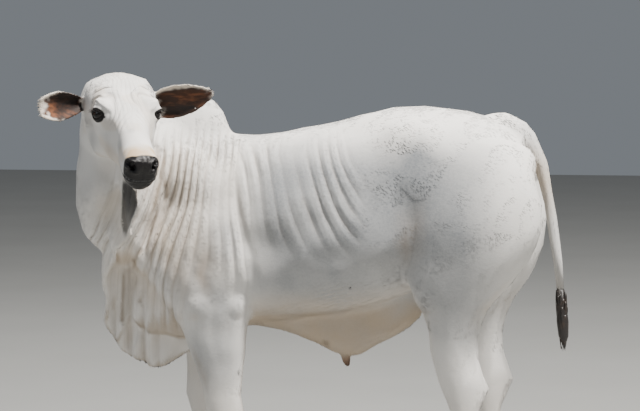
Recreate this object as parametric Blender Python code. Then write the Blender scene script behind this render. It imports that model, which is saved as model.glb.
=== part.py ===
"""A young zebu bull standing square, with its head turned to its left, as a still life-size model.

Metres, +Z up, nose end towards -X, the animal's left side towards -Y, soles on the floor.
The flesh is laid up from lofted and rounded forms, fused into one skin, softened, and parted by
thin flat cuts. What grows from it (ears, eyes, lids, dewlap, tail, hooves) is set against it.
"""

import math
import random

import bmesh
import bpy
from mathutils import Matrix, Vector

# Driving sizes. The hip height sets the scale of the rest, which was judged against it.
HIP_HEIGHT = 1.296
GAP = 0.0003
SHORTEST_EDGE = 0.00003
FUSE_VOXEL = 0.008
FLESH_TRIANGLES = 6900
LEFT, RIGHT = -1, 1
SIDE_NAMES = {LEFT: "left", RIGHT: "right"}

# The head: its own frame starts between the ears and runs to the muzzle.
HEAD_START = Vector((-0.566, -0.275, 1.319))
HEAD_YAW = math.radians(24)
HEAD_PITCH = math.radians(27)
EYE_PLACE = (0.158, 0.077, 0.045)
EYE_RADIUS = 0.0225
EYE_TURN = math.radians(52)
EYE_SLIT_TILT = math.radians(16)
# How far each lid arches from the slit's line, and how far off its middle.
UPPER_LID = (0.84, 6)
LOWER_LID = (-0.66, -8)
LID_SHARE = 0.90
LID_WALL = 0.0042
EAR_PLACE = (0.028, 0.104, 0.004)
EAR_LENGTH = 0.208
EAR_HALF_WIDTH = 0.050
EAR_WALL = 0.005
HEAD_BACK = -0.014
HEAD_FLOOR = -0.119

# Which way each ear points, which way its cup opens, how blunt its tip is, and how drawn in
# its root.
EAR_WAYS = {
    LEFT: (Vector((0.965, -0.190, 0.170)), Vector((0.10, -0.96, -0.22)), 0.08, 0.00),
    RIGHT: (Vector((-0.450, -0.880, -0.020)), Vector((0.78, -0.60, 0.02)), 0.50, 0.58),
}

# The feet.
CORONET = 0.072
FAR_FORE_STEP = -0.105
FAR_HIND_STEP = 0.055
CLAW_SPREAD = 0.0235
DEWCLAW_RADIUS = 0.011

# The tail.
SWITCH_TOP = 0.742
SWITCH_LENGTH = 0.182
SWITCH_SWEEP = 0.012
SWITCH_LOCKS = 20

# Stations. Torso: x, back, floor, half width, squareness, taper (positive is wider above).
TORSO = (
    (-0.55, 1.06, 0.68, 0.080, 2.0, 0.00),
    (-0.50, 1.13, 0.61, 0.130, 2.0, -0.05),
    (-0.42, 1.18, 0.585, 0.162, 2.1, -0.12),
    (-0.32, 1.205, 0.600, 0.180, 2.1, -0.15),
    (-0.20, 1.208, 0.630, 0.198, 2.1, -0.12),
    (-0.08, 1.222, 0.650, 0.220, 2.2, -0.10),
    (0.06, 1.251, 0.668, 0.236, 2.2, -0.06),
    (0.18, 1.284, 0.695, 0.236, 2.2, -0.02),
    (0.28, HIP_HEIGHT, 0.745, 0.218, 2.2, 0.05),
    (0.40, 1.288, 0.800, 0.200, 2.2, 0.10),
    (0.50, 1.266, 0.860, 0.170, 2.2, 0.10),
    (0.57, 1.225, 0.920, 0.130, 2.1, 0.10),
    (0.610, 1.160, 1.000, 0.085, 2.0, 0.00),
)
# Neck: x, y, z of its core, half width, height above the core, depth below it.
NECK = (
    (-0.340, 0.000, 0.990, 0.150, 0.220, 0.270),
    (-0.470, -0.020, 1.060, 0.128, 0.220, 0.290),
    (-0.564, -0.090, 1.130, 0.107, 0.190, 0.275),
    (-0.602, -0.175, 1.200, 0.092, 0.155, 0.245),
    (-0.588, -0.245, 1.260, 0.088, 0.120, 0.180),
    (-0.554, -0.310, 1.290, 0.078, 0.080, 0.110),
)
# Head, along its own axis: distance, brow line, jaw line, half width, squareness, taper.
HEAD = (
    (-0.035, 0.052, -0.090, 0.080, 2.0, 0.00),
    (0.000, 0.090, -0.112, 0.101, 2.3, 0.08),
    (0.050, 0.103, -0.122, 0.106, 2.3, 0.10),
    (0.100, 0.102, -0.120, 0.100, 2.3, 0.09),
    (0.155, 0.094, -0.108, 0.089, 2.3, 0.10),
    (0.210, 0.082, -0.092, 0.070, 2.3, 0.06),
    (0.270, 0.067, -0.076, 0.054, 2.2, 0.00),
    (0.330, 0.055, -0.070, 0.050, 2.2, -0.02),
    (0.380, 0.047, -0.073, 0.050, 2.3, 0.01),
    (0.408, 0.036, -0.061, 0.044, 2.4, 0.01),
    (0.420, 0.022, -0.036, 0.033, 2.2, 0.02),
)
# Legs, from the top down: height, front, rear, inner face, outer face.
FORE_LEG = (
    (1.060, -0.400, -0.240, 0.070, 0.150),
    (0.980, -0.460, -0.200, 0.065, 0.185),
    (0.890, -0.510, -0.185, 0.060, 0.205),
    (0.800, -0.505, -0.182, 0.062, 0.208),
    (0.720, -0.460, -0.185, 0.072, 0.198),
    (0.650, -0.415, -0.192, 0.085, 0.185),
    (0.580, -0.385, -0.203, 0.093, 0.175),
    (0.500, -0.355, -0.212, 0.098, 0.167),
    (0.430, -0.334, -0.217, 0.098, 0.163),
    (0.385, -0.331, -0.212, 0.094, 0.165),
    (0.340, -0.316, -0.218, 0.098, 0.160),
    (0.300, -0.298, -0.228, 0.103, 0.153),
    (0.220, -0.292, -0.231, 0.104, 0.152),
    (0.165, -0.301, -0.221, 0.097, 0.159),
    (0.130, -0.306, -0.225, 0.097, 0.159),
    (0.100, -0.317, -0.241, 0.100, 0.156),
    (CORONET - 0.02, -0.337, -0.241, 0.093, 0.163),
)
HIND_LEG = (
    (1.200, 0.300, 0.580, 0.050, 0.160),
    (1.100, 0.270, 0.650, 0.035, 0.205),
    (0.980, 0.250, 0.680, 0.028, 0.225),
    (0.880, 0.262, 0.660, 0.028, 0.222),
    (0.780, 0.290, 0.592, 0.035, 0.205),
    (0.700, 0.318, 0.520, 0.052, 0.190),
    (0.630, 0.338, 0.497, 0.070, 0.175),
    (0.560, 0.348, 0.490, 0.082, 0.163),
    (0.500, 0.362, 0.512, 0.088, 0.157),
    (0.465, 0.378, 0.524, 0.086, 0.158),
    (0.420, 0.395, 0.505, 0.090, 0.156),
    (0.370, 0.412, 0.487, 0.096, 0.150),
    (0.300, 0.420, 0.485, 0.100, 0.148),
    (0.220, 0.424, 0.487, 0.100, 0.148),
    (0.165, 0.417, 0.498, 0.093, 0.155),
    (0.130, 0.409, 0.491, 0.093, 0.155),
    (0.100, 0.396, 0.476, 0.096, 0.152),
    (CORONET - 0.02, 0.376, 0.474, 0.089, 0.159),
)
# Dewlap: the line that it hangs from, then its free edge below, and its half thickness.
DEWLAP = (
    ((-0.456, -0.520, 1.150), (-0.460, -0.512, 1.112), 0.008),
    ((-0.492, -0.415, 1.180), (-0.478, -0.425, 1.005), 0.014),
    ((-0.550, -0.310, 1.190), (-0.527, -0.310, 0.917), 0.017),
    ((-0.600, -0.200, 1.100), (-0.594, -0.205, 0.850), 0.019),
    ((-0.600, -0.110, 1.000), (-0.634, -0.120, 0.744), 0.020),
    ((-0.560, -0.040, 0.900), (-0.645, -0.050, 0.630), 0.021),
    ((-0.510, 0.000, 0.800), (-0.622, -0.010, 0.560), 0.022),
    ((-0.450, 0.000, 0.700), (-0.570, 0.000, 0.520), 0.022),
    ((-0.380, 0.000, 0.680), (-0.490, 0.000, 0.492), 0.022),
    ((-0.300, 0.000, 0.680), (-0.400, 0.000, 0.545), 0.020),
    ((-0.230, 0.000, 0.690), (-0.270, 0.000, 0.615), 0.015),
)
DEWLAP_FOLD = 0.011
DEWLAP_FOLDS = 8.5
# The fold of skin that runs along the belly to the sheath: x, its lower edge, half thickness.
NAVEL_FOLD = (
    (-0.260, 0.640, 0.030),
    (-0.150, 0.612, 0.036),
    (-0.060, 0.592, 0.040),
    (0.015, 0.556, 0.042),
    (0.075, 0.538, 0.042),
    (0.120, 0.540, 0.040),
    (0.190, 0.574, 0.036),
    (0.260, 0.614, 0.032),
    (0.315, 0.662, 0.026),
)
# Tail: x, z and radius of its core, from inside the rump down to the switch.
TAIL = (
    (0.470, 1.230, 0.027),
    (0.522, 1.251, 0.027),
    (0.564, 1.248, 0.027),
    (0.606, 1.224, 0.0255),
    (0.640, 1.174, 0.0238),
    (0.661, 1.126, 0.0205),
    (0.678, 1.063, 0.0175),
    (0.692, 0.988, 0.0158),
    (0.705, 0.901, 0.0148),
    (0.718, 0.814, 0.0130),
    (0.725, SWITCH_TOP, 0.0122),
)
# Ear: share of its length, share of its full half width, angle that its cup wraps round.
EAR = (
    (0.00, 0.42, 118),
    (0.14, 0.70, 92),
    (0.32, 0.95, 70),
    (0.50, 1.00, 58),
    (0.68, 0.88, 50),
    (0.84, 0.62, 44),
    (0.95, 0.33, 38),
    (1.00, 0.08, 34),
)
# One claw of a hoof: height, toe, heel (from the foot's middle), half width.
CLAW = (
    (0.000, -0.058, 0.042, 0.0215),
    (0.022, -0.050, 0.044, 0.0212),
    (0.048, -0.038, 0.044, 0.0205),
    (CORONET - GAP, -0.027, 0.038, 0.0190),
)

COAT = ((0.78, 0.75, 0.70), 0.75)
BARE_BLACK = ((0.018, 0.017, 0.020), 0.35)
HORN_GREY = ((0.090, 0.080, 0.075), 0.45)
SWITCH_BLACK = ((0.012, 0.011, 0.012), 0.55)
BROWN_SKIN = ((0.30, 0.16, 0.10), 0.50)
EYE_BLACK = ((0.010, 0.008, 0.008), 0.08)


def clear_scene():
    for obj in list(bpy.data.objects):
        bpy.data.objects.remove(obj)


def painted(name, finish):
    """The Principled material of a finish, made once."""
    made = bpy.data.materials.get(name)
    if made is None:
        made = bpy.data.materials.new(name)
        made.use_nodes = True
        colour, roughness = finish
        surface = made.node_tree.nodes["Principled BSDF"]
        surface.inputs["Base Color"].default_value = (*colour, 1)
        surface.inputs["Roughness"].default_value = roughness
        surface.inputs["Metallic"].default_value = 0
    return made


def placed(name, bm):
    """A closed bmesh as an object of the scene."""
    bmesh.ops.recalc_face_normals(bm, faces=bm.faces)
    mesh = bpy.data.meshes.new(name)
    bm.to_mesh(mesh)
    bm.free()
    obj = bpy.data.objects.new(name, mesh)
    bpy.context.scene.collection.objects.link(obj)
    return obj


def finished(obj, name, material, finish):
    obj.name = name
    obj.data.name = name
    obj.data.materials.clear()
    obj.data.materials.append(painted(material, finish))
    obj.data.shade_smooth()
    return obj


def settle(obj):
    """Applies the object's modifiers."""
    bpy.context.view_layer.update()
    graph = bpy.context.evaluated_depsgraph_get()
    mesh = bpy.data.meshes.new_from_object(obj.evaluated_get(graph))
    obj.modifiers.clear()
    obj.data = mesh
    return obj


def copy_of(obj, name):
    twin = bpy.data.objects.new(name, obj.data.copy())
    bpy.context.scene.collection.objects.link(twin)
    return twin


def carved(target, cutter, operation="DIFFERENCE", keep_cutter=False):
    modifier = target.modifiers.new(operation.title(), "BOOLEAN")
    modifier.operation = operation
    modifier.object = cutter
    modifier.solver = "EXACT"
    settle(target)
    if not keep_cutter:
        bpy.data.objects.remove(cutter)
    return target


def fused_in(target, pieces):
    """Joins closed pieces to the target by one union, and removes them."""
    together = bpy.data.collections.new("pieces")
    bpy.context.scene.collection.children.link(together)
    for piece in pieces:
        bpy.context.scene.collection.objects.unlink(piece)
        together.objects.link(piece)
    modifier = target.modifiers.new("Union", "BOOLEAN")
    modifier.operation = "UNION"
    modifier.operand_type = "COLLECTION"
    modifier.collection = together
    modifier.solver = "EXACT"
    settle(target)
    for piece in pieces:
        bpy.data.objects.remove(piece)
    bpy.data.collections.remove(together)
    return target


def swollen(obj, by):
    """A copy whose surface stands out by a gap, to cut what touches the object."""
    twin = copy_of(obj, obj.name + "_swollen")
    modifier = twin.modifiers.new("Gap", "DISPLACE")
    modifier.strength = by
    modifier.mid_level = 0
    return settle(twin)


def set_against(child, *parents):
    """Cuts the child clear of what it grows from, by the gap, and keeps its largest body."""
    for parent in parents:
        carved(child, swollen(parent, GAP))
    return keep_largest(child)


def keep_largest(obj):
    """Deletes all but the object's largest closed surface, left in triangles."""
    bm = bmesh.new()
    bm.from_mesh(obj.data)
    bmesh.ops.triangulate(bm, faces=bm.faces)
    seen, best = set(), []
    best_size = 0
    for start in bm.faces:
        if start in seen:
            continue
        shell, queue = [], [start]
        seen.add(start)
        while queue:
            face = queue.pop()
            shell.append(face)
            for edge in face.edges:
                for other in edge.link_faces:
                    if other not in seen:
                        seen.add(other)
                        queue.append(other)
        size = abs(sum(
            f.verts[0].co.dot(f.verts[1].co.cross(f.verts[2].co)) for f in shell
        ))
        if size > best_size:
            best, best_size = shell, size
    kept = set(best)
    scraps = [face for face in bm.faces if face not in kept]
    bmesh.ops.delete(bm, geom=scraps, context="FACES")
    bm.to_mesh(obj.data)
    bm.free()
    return obj


def close_short_edges(obj):
    """Draws the ends of each very short edge together where the surface stays closed and simple."""
    bm = bmesh.new()
    bm.from_mesh(obj.data)
    for _ in range(400):
        closed = False
        for edge in sorted(bm.edges, key=lambda e: e.calc_length()):
            if edge.calc_length() > SHORTEST_EDGE:
                break
            one, two = edge.verts
            near_one = {e.other_vert(one) for e in one.link_edges}
            near_two = {e.other_vert(two) for e in two.link_edges}
            if len(near_one & near_two) == 2 and len(edge.link_faces) == 2:
                bmesh.ops.pointmerge(bm, verts=[one, two], merge_co=(one.co + two.co) / 2)
                closed = True
                break
        if not closed:
            break
    bm.to_mesh(obj.data)
    bm.free()
    return obj


def eased(rows, steps):
    """The rows, with steps between each pair on a smooth curve through them all."""
    ends = [rows[0], *rows, rows[-1]]
    found = []
    for before, start, end, after in zip(ends, ends[1:], ends[2:], ends[3:]):
        for k in range(steps):
            t = k / steps
            found.append(tuple(
                0.5 * (2 * b + (c - a) * t + (2 * a - 5 * b + 4 * c - d) * t**2
                       + (3 * b - a - 3 * c + d) * t**3)
                for a, b, c, d in zip(before, start, end, after)
            ))
    return [*found, tuple(rows[-1])]


def section(centre, across, upward, half, above, below, square=2.0, taper=0.0, sides=28):
    """One closed outline: a superellipse, with its own height above and depth below."""
    points = []
    for i in range(sides):
        turn = 2 * math.pi * i / sides
        side = math.copysign(abs(math.cos(turn)) ** (2 / square), math.cos(turn))
        rise = math.copysign(abs(math.sin(turn)) ** (2 / square), math.sin(turn))
        reach = above if rise > 0 else below
        points.append(centre + across * side * half * (1 + taper * rise) + upward * rise * reach)
    return points


def loft(name, outlines):
    """A closed skin through a row of outlines, with flat ends."""
    bm = bmesh.new()
    rings = [[bm.verts.new(p) for p in outline] for outline in outlines]
    for first, second in zip(rings, rings[1:]):
        for i in range(len(first)):
            j = (i + 1) % len(first)
            bm.faces.new((first[i], first[j], second[j], second[i]))
    bm.faces.new(list(reversed(rings[0])))
    bm.faces.new(rings[-1])
    return placed(name, bm)


def ball(name, centre, radii, turn=None, detail=4):
    """An ellipsoid, turned about its centre."""
    bm = bmesh.new()
    bmesh.ops.create_icosphere(bm, subdivisions=detail, radius=1)
    turning = turn.to_4x4() if turn else Matrix.Identity(4)
    shape = Matrix.Translation(centre) @ turning @ Matrix.Diagonal((*radii, 1))
    bmesh.ops.transform(bm, matrix=shape, verts=bm.verts)
    return placed(name, bm)


def block(name, low, high, frame=None):
    """A box between two corners, in a frame's own axes."""
    bm = bmesh.new()
    bmesh.ops.create_cube(bm, size=1)
    low, high = Vector(low), Vector(high)
    shape = Matrix.Translation((low + high) / 2) @ Matrix.Diagonal((*(high - low), 1))
    bmesh.ops.transform(bm, matrix=(frame or Matrix.Identity(4)) @ shape, verts=bm.verts)
    return placed(name, bm)


def head_axes():
    """The head's own directions: along the face, to the animal's left, and up out of the brow."""
    level = Vector((math.sin(HEAD_YAW), -math.cos(HEAD_YAW), 0))
    along = level * math.cos(HEAD_PITCH) - Vector((0, 0, math.sin(HEAD_PITCH)))
    to_left = Vector((-level.y, level.x, 0))
    return along, to_left, along.cross(to_left)


def in_head(along, to_left, upward):
    a, b, c = head_axes()
    return HEAD_START + a * along + b * to_left + c * upward


def mirrored(place, side):
    """A place of the head given for its left, on the side asked for."""
    return place[0], -side * place[1], place[2]


def head_frame():
    a, b, c = head_axes()
    return Matrix.Translation(HEAD_START) @ Matrix((a, b, c)).transposed().to_4x4()


def tube_outlines(points, sides=10):
    """Round outlines along a row of (centre, radius), each square to the way it runs."""
    outlines = []
    for i, (centre, radius) in enumerate(points):
        ahead = points[min(i + 1, len(points) - 1)][0] - points[max(i - 1, 0)][0]
        across = Vector((0, 1, 0))
        if abs(ahead.normalized().y) > 0.9:
            across = Vector((1, 0, 0))
        upward = ahead.cross(across).normalized()
        across = upward.cross(ahead).normalized()
        outlines.append(section(centre, across, upward, radius, radius, radius, sides=sides))
    return outlines


def torso_form():
    outlines = []
    for x, back, floor, half, square, taper in eased(TORSO, 4):
        middle = floor + 0.48 * (back - floor)
        outlines.append(section(
            Vector((x, 0, middle)), Vector((0, 1, 0)), Vector((0, 0, 1)),
            half, back - middle, middle - floor, square, taper, 40,
        ))
    return loft("torso_form", outlines)


def neck_form():
    rows = eased(NECK, 4)
    outlines = []
    for i, (x, y, z, half, above, below) in enumerate(rows):
        ahead = Vector(rows[min(i + 1, len(rows) - 1)][:3]) - Vector(rows[max(i - 1, 0)][:3])
        across = Vector((-ahead.y, ahead.x, 0)).normalized()
        upward = ahead.cross(across).normalized()
        if upward.z < 0:
            upward.negate()
        outlines.append(section(Vector((x, y, z)), across, upward, half, above, below, 2.1, -0.08))
    return loft("neck_form", outlines)


def head_forms():
    along, to_left, upward = head_axes()
    outlines = [
        section(in_head(a, 0, 0), to_left, upward, half, brow, -jaw, square, taper, 32)
        for a, brow, jaw, half, square, taper in eased(HEAD, 3)
    ]
    turn = head_frame().to_3x3()
    forms = [
        loft("head_form", outlines),
        ball("nose_pad", in_head(0.392, 0, 0.014), (0.034, 0.050, 0.034), turn),
        ball("chin", in_head(0.368, 0, -0.046), (0.036, 0.034, 0.022), turn),
        ball("poll", in_head(0.026, 0, 0.036), (0.066, 0.092, 0.062), turn),
    ]
    for side in (LEFT, RIGHT):
        forms += [
            ball("cheek", in_head(0.105, -side * 0.056, -0.052), (0.085, 0.038, 0.062), turn),
            ball("brow", in_head(0.145, -side * 0.060, 0.066), (0.044, 0.030, 0.026), turn),
            ball("orbit", in_head(*mirrored(EYE_PLACE, side)), (EYE_RADIUS + 0.0055,) * 3),
            ball("lip", in_head(0.375, -side * 0.030, -0.012), (0.036, 0.022, 0.024), turn),
            ball("horn_site", in_head(0.010, -side * 0.076, 0.038), (0.032, 0.028, 0.030), turn),
            ball("ear_root", in_head(0.022, -side * 0.084, 0.002), (0.036, 0.034, 0.036), turn),
        ]
    return forms


def leg_form(rows, side, step):
    """A leg as level outlines. A step carries its lower part forwards or back."""
    top, knee = (0.80, 0.42) if step < 0 else (0.92, 0.72)
    outlines = []
    for z, front, rear, inner, outer in eased(rows, 3):
        share = min(max((top - z) / (top - knee), 0), 1)
        centre = Vector(((front + rear) / 2 + step * share, side * (inner + outer) / 2, z))
        reach = (rear - front) / 2
        outlines.append(section(
            centre, Vector((0, 1, 0)), Vector((1, 0, 0)), (outer - inner) / 2, reach, reach, 2.2,
        ))
    return loft("leg_form", outlines)


def muscle_forms():
    """The rounded masses of the hump, shoulders, hips and buttocks."""
    tilt = Matrix.Rotation(math.radians(14), 3, "Y")
    forms = [
        ball("hump", (-0.388, 0, 1.190), (0.116, 0.066, 0.138), tilt),
        ball("brisket", (-0.500, 0, 0.700), (0.090, 0.085, 0.110)),
        ball("dock", (0.580, 0, 1.195), (0.048, 0.050, 0.046)),
    ]
    for side in (LEFT, RIGHT):
        blade = Matrix.Rotation(math.radians(-22), 3, "Y")
        forms += [
            ball("blade", (-0.345, side * 0.105, 1.00), (0.100, 0.072, 0.190), blade),
            ball("shoulder_point", (-0.475, side * 0.120, 0.850), (0.070, 0.062, 0.085)),
            ball("triceps", (-0.265, side * 0.150, 0.840), (0.090, 0.060, 0.130)),
            ball("hook", (0.290, side * 0.140, 1.165), (0.120, 0.060, 0.105)),
            ball("pin", (0.600, side * 0.080, 1.120), (0.060, 0.050, 0.075)),
            ball("stifle", (0.355, side * 0.145, 0.790), (0.075, 0.055, 0.100)),
        ]
    return forms


def navel_form():
    outlines = []
    for x, edge, half in eased(NAVEL_FOLD, 3):
        top = 0.78
        middle = edge + half
        outlines.append(section(
            Vector((x, 0, middle)), Vector((0, 1, 0)), Vector((0, 0, 1)),
            half, top - middle, half, 2.0, 0.35,
        ))
    return loft("navel_form", outlines)


def softened(obj, weight, repeats):
    """Evens out the creases between forms, by a weight of each point's place."""
    group = obj.vertex_groups.new(name="soft")
    for vertex in obj.data.vertices:
        group.add([vertex.index], weight(vertex.co), "REPLACE")
    modifier = obj.modifiers.new("Soften", "SMOOTH")
    modifier.factor = 0.5
    modifier.iterations = repeats
    modifier.vertex_group = group.name
    settle(obj)
    obj.vertex_groups.clear()
    return obj


def pushed(obj, centre, radius, shift):
    """Moves the skin near a place, most at its middle, as a thumb does in clay."""
    centre, shift = Vector(centre), Vector(shift)
    for vertex in obj.data.vertices:
        near = (vertex.co - centre).length / radius
        if near < 1:
            vertex.co += shift * (1 - near * near) ** 2
    return obj


def flesh_body():
    """All the flesh as one closed skin."""
    forms = [torso_form(), neck_form(), navel_form(), *head_forms(), *muscle_forms()]
    for side in (LEFT, RIGHT):
        forms.append(leg_form(FORE_LEG, side, FAR_FORE_STEP if side == RIGHT else 0))
        forms.append(leg_form(HIND_LEG, side, FAR_HIND_STEP if side == RIGHT else 0))
    bm = bmesh.new()
    for form in forms:
        bm.from_mesh(form.data)
        bpy.data.objects.remove(form)
    body = placed("flesh", bm)
    fuse = body.modifiers.new("Fuse", "REMESH")
    fuse.mode = "VOXEL"
    fuse.voxel_size = FUSE_VOXEL
    settle(body)

    head_middle = in_head(0.20, 0, 0)

    def weight(place):
        from_head = (place - head_middle).length
        if from_head < 0.30 and place.y < -0.22:
            return min(max((from_head - 0.16) / 0.14, 0.12), 1)
        return min(max((place.z - 0.30) / 0.35, 0.25), 1)

    softened(body, weight, 36)
    along, to_left, upward = head_axes()
    for side in (LEFT, RIGHT):
        outward = -side * to_left
        pushed(body, in_head(0.26, -side * 0.06, 0.0), 0.070, -outward * 0.006)
        pushed(body, (0.245, side * 0.235, 1.02), 0.120, (0, -side * 0.018, 0))
        pushed(body, (-0.130, side * 0.215, 0.88), 0.120, (0, -side * 0.012, 0))
    return keep_largest(body)


def thinned(obj, triangles):
    obj.data.calc_loop_triangles()
    modifier = obj.modifiers.new("Thin", "DECIMATE")
    modifier.ratio = triangles / len(obj.data.loop_triangles)
    modifier.use_collapse_triangulate = True
    return settle(obj)


def parted(body, name, low, high, frame=None):
    """Cuts what lies in a block off the body as its own piece, a gap apart."""
    piece = copy_of(body, name)
    carved(piece, block("region", low, high, frame), "INTERSECT")
    margin = Vector((GAP, GAP, GAP))
    carved(body, block("region", Vector(low) - margin, Vector(high) + margin, frame))
    keep_largest(body)
    return finished(keep_largest(piece), name, "short_white_coat", COAT)


def leaning(at, degrees):
    """A frame at a place, leant about Y."""
    return Matrix.Translation(at) @ Matrix.Rotation(math.radians(degrees), 4, "Y")


def flesh_nodes():
    body = thinned(flesh_body(), FLESH_TRIANGLES)
    nodes = {"head": parted(
        body, "head", (HEAD_BACK, -0.2, HEAD_FLOOR), (0.6, 0.2, 0.3), head_frame())}
    for side in (LEFT, RIGHT):
        name = SIDE_NAMES[side]
        near, far = sorted((side * 0.078, side * 0.40))
        nodes["foreleg_" + name] = parted(
            body, "foreleg_" + name, (-0.455, near, -0.10), (-0.10, far, 0.630))
        near, far = sorted((0, side * 0.40))
        nodes["hindleg_" + name] = parted(
            body, "hindleg_" + name, (0.300, near, -0.10), (0.80, far, 0.655))
    nodes["neck"] = parted(body, "neck", (-0.60, -0.6, -0.9), (0.0, 0.3, 0.5),
                           leaning((-0.47, 0, 1.10), 14))
    nodes["torso"] = finished(body, "torso", "short_white_coat", COAT)
    for name, node in nodes.items():
        if "leg_" in name:
            carved(node, block("sole", (-1, -1, -0.1), (1, 1, CORONET)))
    return nodes


def dewlap_node():
    """The hanging sheet of skin under the throat and brisket, thrown into upright folds."""
    steps = 3
    rows = eased([(*root, *edge, half) for root, edge, half in DEWLAP], steps)
    outlines = []
    for i, row in enumerate(rows):
        root, edge, half = Vector(row[:3]), Vector(row[3:6]), row[6]
        ahead = Vector(rows[min(i + 1, len(rows) - 1)][3:6]) - Vector(rows[max(i - 1, 0)][3:6])
        down = edge - root
        across = ahead.cross(down).normalized()
        share = i / (len(rows) - 1)
        swing = DEWLAP_FOLD * math.sin(2 * math.pi * DEWLAP_FOLDS * share) * min(1, 6 * share)
        outline = []
        spots = 6
        for face in (1, -1):
            for k in range(spots):
                t = k / (spots - 1) if face == 1 else 1 - k / (spots - 1)
                thick = half * (1.25 - 0.6 * t) * (1 if 0 < t < 1 else 0.55)
                outline.append(root + down * t + across * (face * thick + swing * t))
        outlines.append(outline)
    return loft("dewlap", outlines)


def ear_node(side):
    """A leaf-shaped ear, cupped most at its root, with a wall of its own."""
    reach, opening, bluntness, waist = EAR_WAYS[side]
    reach = reach.normalized()
    opening = (opening - reach * opening.dot(reach)).normalized()
    width_way = reach.cross(opening)
    root = in_head(*mirrored(EAR_PLACE, side)) - reach * 0.014
    rows = eased(EAR, 1)
    across = 10
    bm = bmesh.new()
    skins = []
    for offset in (0, EAR_WALL):
        skin = []
        for share, spread, wrap in rows:
            if share > 0.4:
                spread = 1 - (1 - spread) * (1 - bluntness)
            spread *= 1 - waist * max(0, 1 - share / 0.70) ** 0.8
            wrap = math.radians(wrap)
            radius = EAR_HALF_WIDTH * spread / math.sin(min(wrap, math.pi / 2))
            wall = min(offset, radius * 0.5)
            line = []
            for k in range(across + 1):
                turn = wrap * (2 * k / across - 1)
                place = root + reach * EAR_LENGTH * share
                place += width_way * (radius - wall) * math.sin(turn)
                place += opening * (radius - (radius - wall) * math.cos(turn))
                line.append(bm.verts.new(place))
            skin.append(line)
        skins.append(skin)
    outer, inner = skins
    for skin in skins:
        for first, second in zip(skin, skin[1:]):
            for k in range(across):
                corners = (first[k], first[k + 1], second[k + 1], second[k])
                bm.faces.new(corners[:3])
                bm.faces.new((corners[0], corners[2], corners[3]))
    for k in range(across):
        bm.faces.new((outer[0][k], outer[0][k + 1], inner[0][k + 1], inner[0][k]))
        bm.faces.new((outer[-1][k], outer[-1][k + 1], inner[-1][k + 1], inner[-1][k]))
    for i in range(len(rows) - 1):
        for k in (0, across):
            bm.faces.new((outer[i][k], outer[i + 1][k], inner[i + 1][k], inner[i][k]))
    return placed("ear_" + SIDE_NAMES[side], bm)


def eye_ways(side):
    """The directions of one eye: out of it, along its slit to the inner corner, and up."""
    along, to_left, upward = head_axes()
    outward = -side * to_left
    facing = outward * math.sin(EYE_TURN) + along * math.cos(EYE_TURN)
    slit = along * math.cos(EYE_SLIT_TILT) + upward * math.sin(EYE_SLIT_TILT)
    slit = (slit - facing * slit.dot(facing)).normalized()
    up_way = facing.cross(slit)
    if up_way.dot(upward) < 0:
        up_way.negate()
    return facing, slit, up_way


def lid_line(side, rise, skew, radius, steps=12):
    """Points along one lid's edge, from corner to corner, at a distance from the eye's middle."""
    facing, slit, up_way = eye_ways(side)
    eye = in_head(*mirrored(EYE_PLACE, side))
    points = []
    for k in range(steps + 1):
        swing = -64 + 128 * k / steps
        arch = rise * math.cos(math.radians((swing - skew) * 90 / (64 + abs(skew))))
        swing = math.radians(swing)
        way = facing * math.cos(swing) + slit * math.sin(swing) + up_way * arch
        points.append(eye + way.normalized() * radius)
    return points


def eye_opening(side):
    """The almond-shaped hole in the skin between the lids, as a cutter."""
    outlines = []
    for radius in (EYE_RADIUS * 0.7, EYE_RADIUS * 2.2):
        upper = lid_line(side, UPPER_LID[0] * LID_SHARE, UPPER_LID[1], radius, 17)
        lower = lid_line(side, LOWER_LID[0] * LID_SHARE, LOWER_LID[1], radius, 17)
        outlines.append(upper + lower[-2:0:-1])
    return loft("opening", outlines)


def lid_form(side):
    """The lids before they are opened: a rounded hood over the eyeball."""
    eye = in_head(*mirrored(EYE_PLACE, side))
    return ball("lids", eye, (EYE_RADIUS + LID_WALL,) * 3, detail=3)


def head_details(head):
    """The nostrils, the line of the mouth, and the lids with the opening between them."""
    along, to_left, upward = head_axes()
    for side in (LEFT, RIGHT):
        turn = head_frame().to_3x3() @ Matrix.Rotation(math.radians(-side * 38), 3, "Z")
        turn = turn @ Matrix.Rotation(math.radians(-28), 3, "Y")
        carved(head, ball("nostril", in_head(0.414, -side * 0.033, 0.016), (0.022, 0.0085, 0.013),
                          turn, 2))
    slit = []
    steps = 16
    for k in range(steps + 1):
        turn = math.radians(-112 + 224 * k / steps)
        ahead, aside = math.cos(turn), math.sin(turn)
        place = (0.330 + 0.084 * ahead, 0.056 * aside, -0.026 - 0.004 * ahead)
        inner = (0.330 + 0.066 * ahead, 0.038 * aside, -0.024)
        rows = []
        for half, (a, b, c) in ((0.0022, place), (0.0008, inner)):
            rows.append((in_head(a, b, c + half), in_head(a, b, c - half)))
        (out_up, out_down), (in_up, in_down) = rows
        slit.append([out_up, out_down, in_down, in_up])
    carved(head, loft("mouth_line", slit))
    fused_in(head, [lid_form(side) for side in (LEFT, RIGHT)])
    for side in (LEFT, RIGHT):
        carved(head, eye_opening(side))
    return head


def eye_node(side):
    eye = in_head(*mirrored(EYE_PLACE, side))
    return ball("eye_" + SIDE_NAMES[side], eye, (EYE_RADIUS,) * 3, detail=3)


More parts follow.
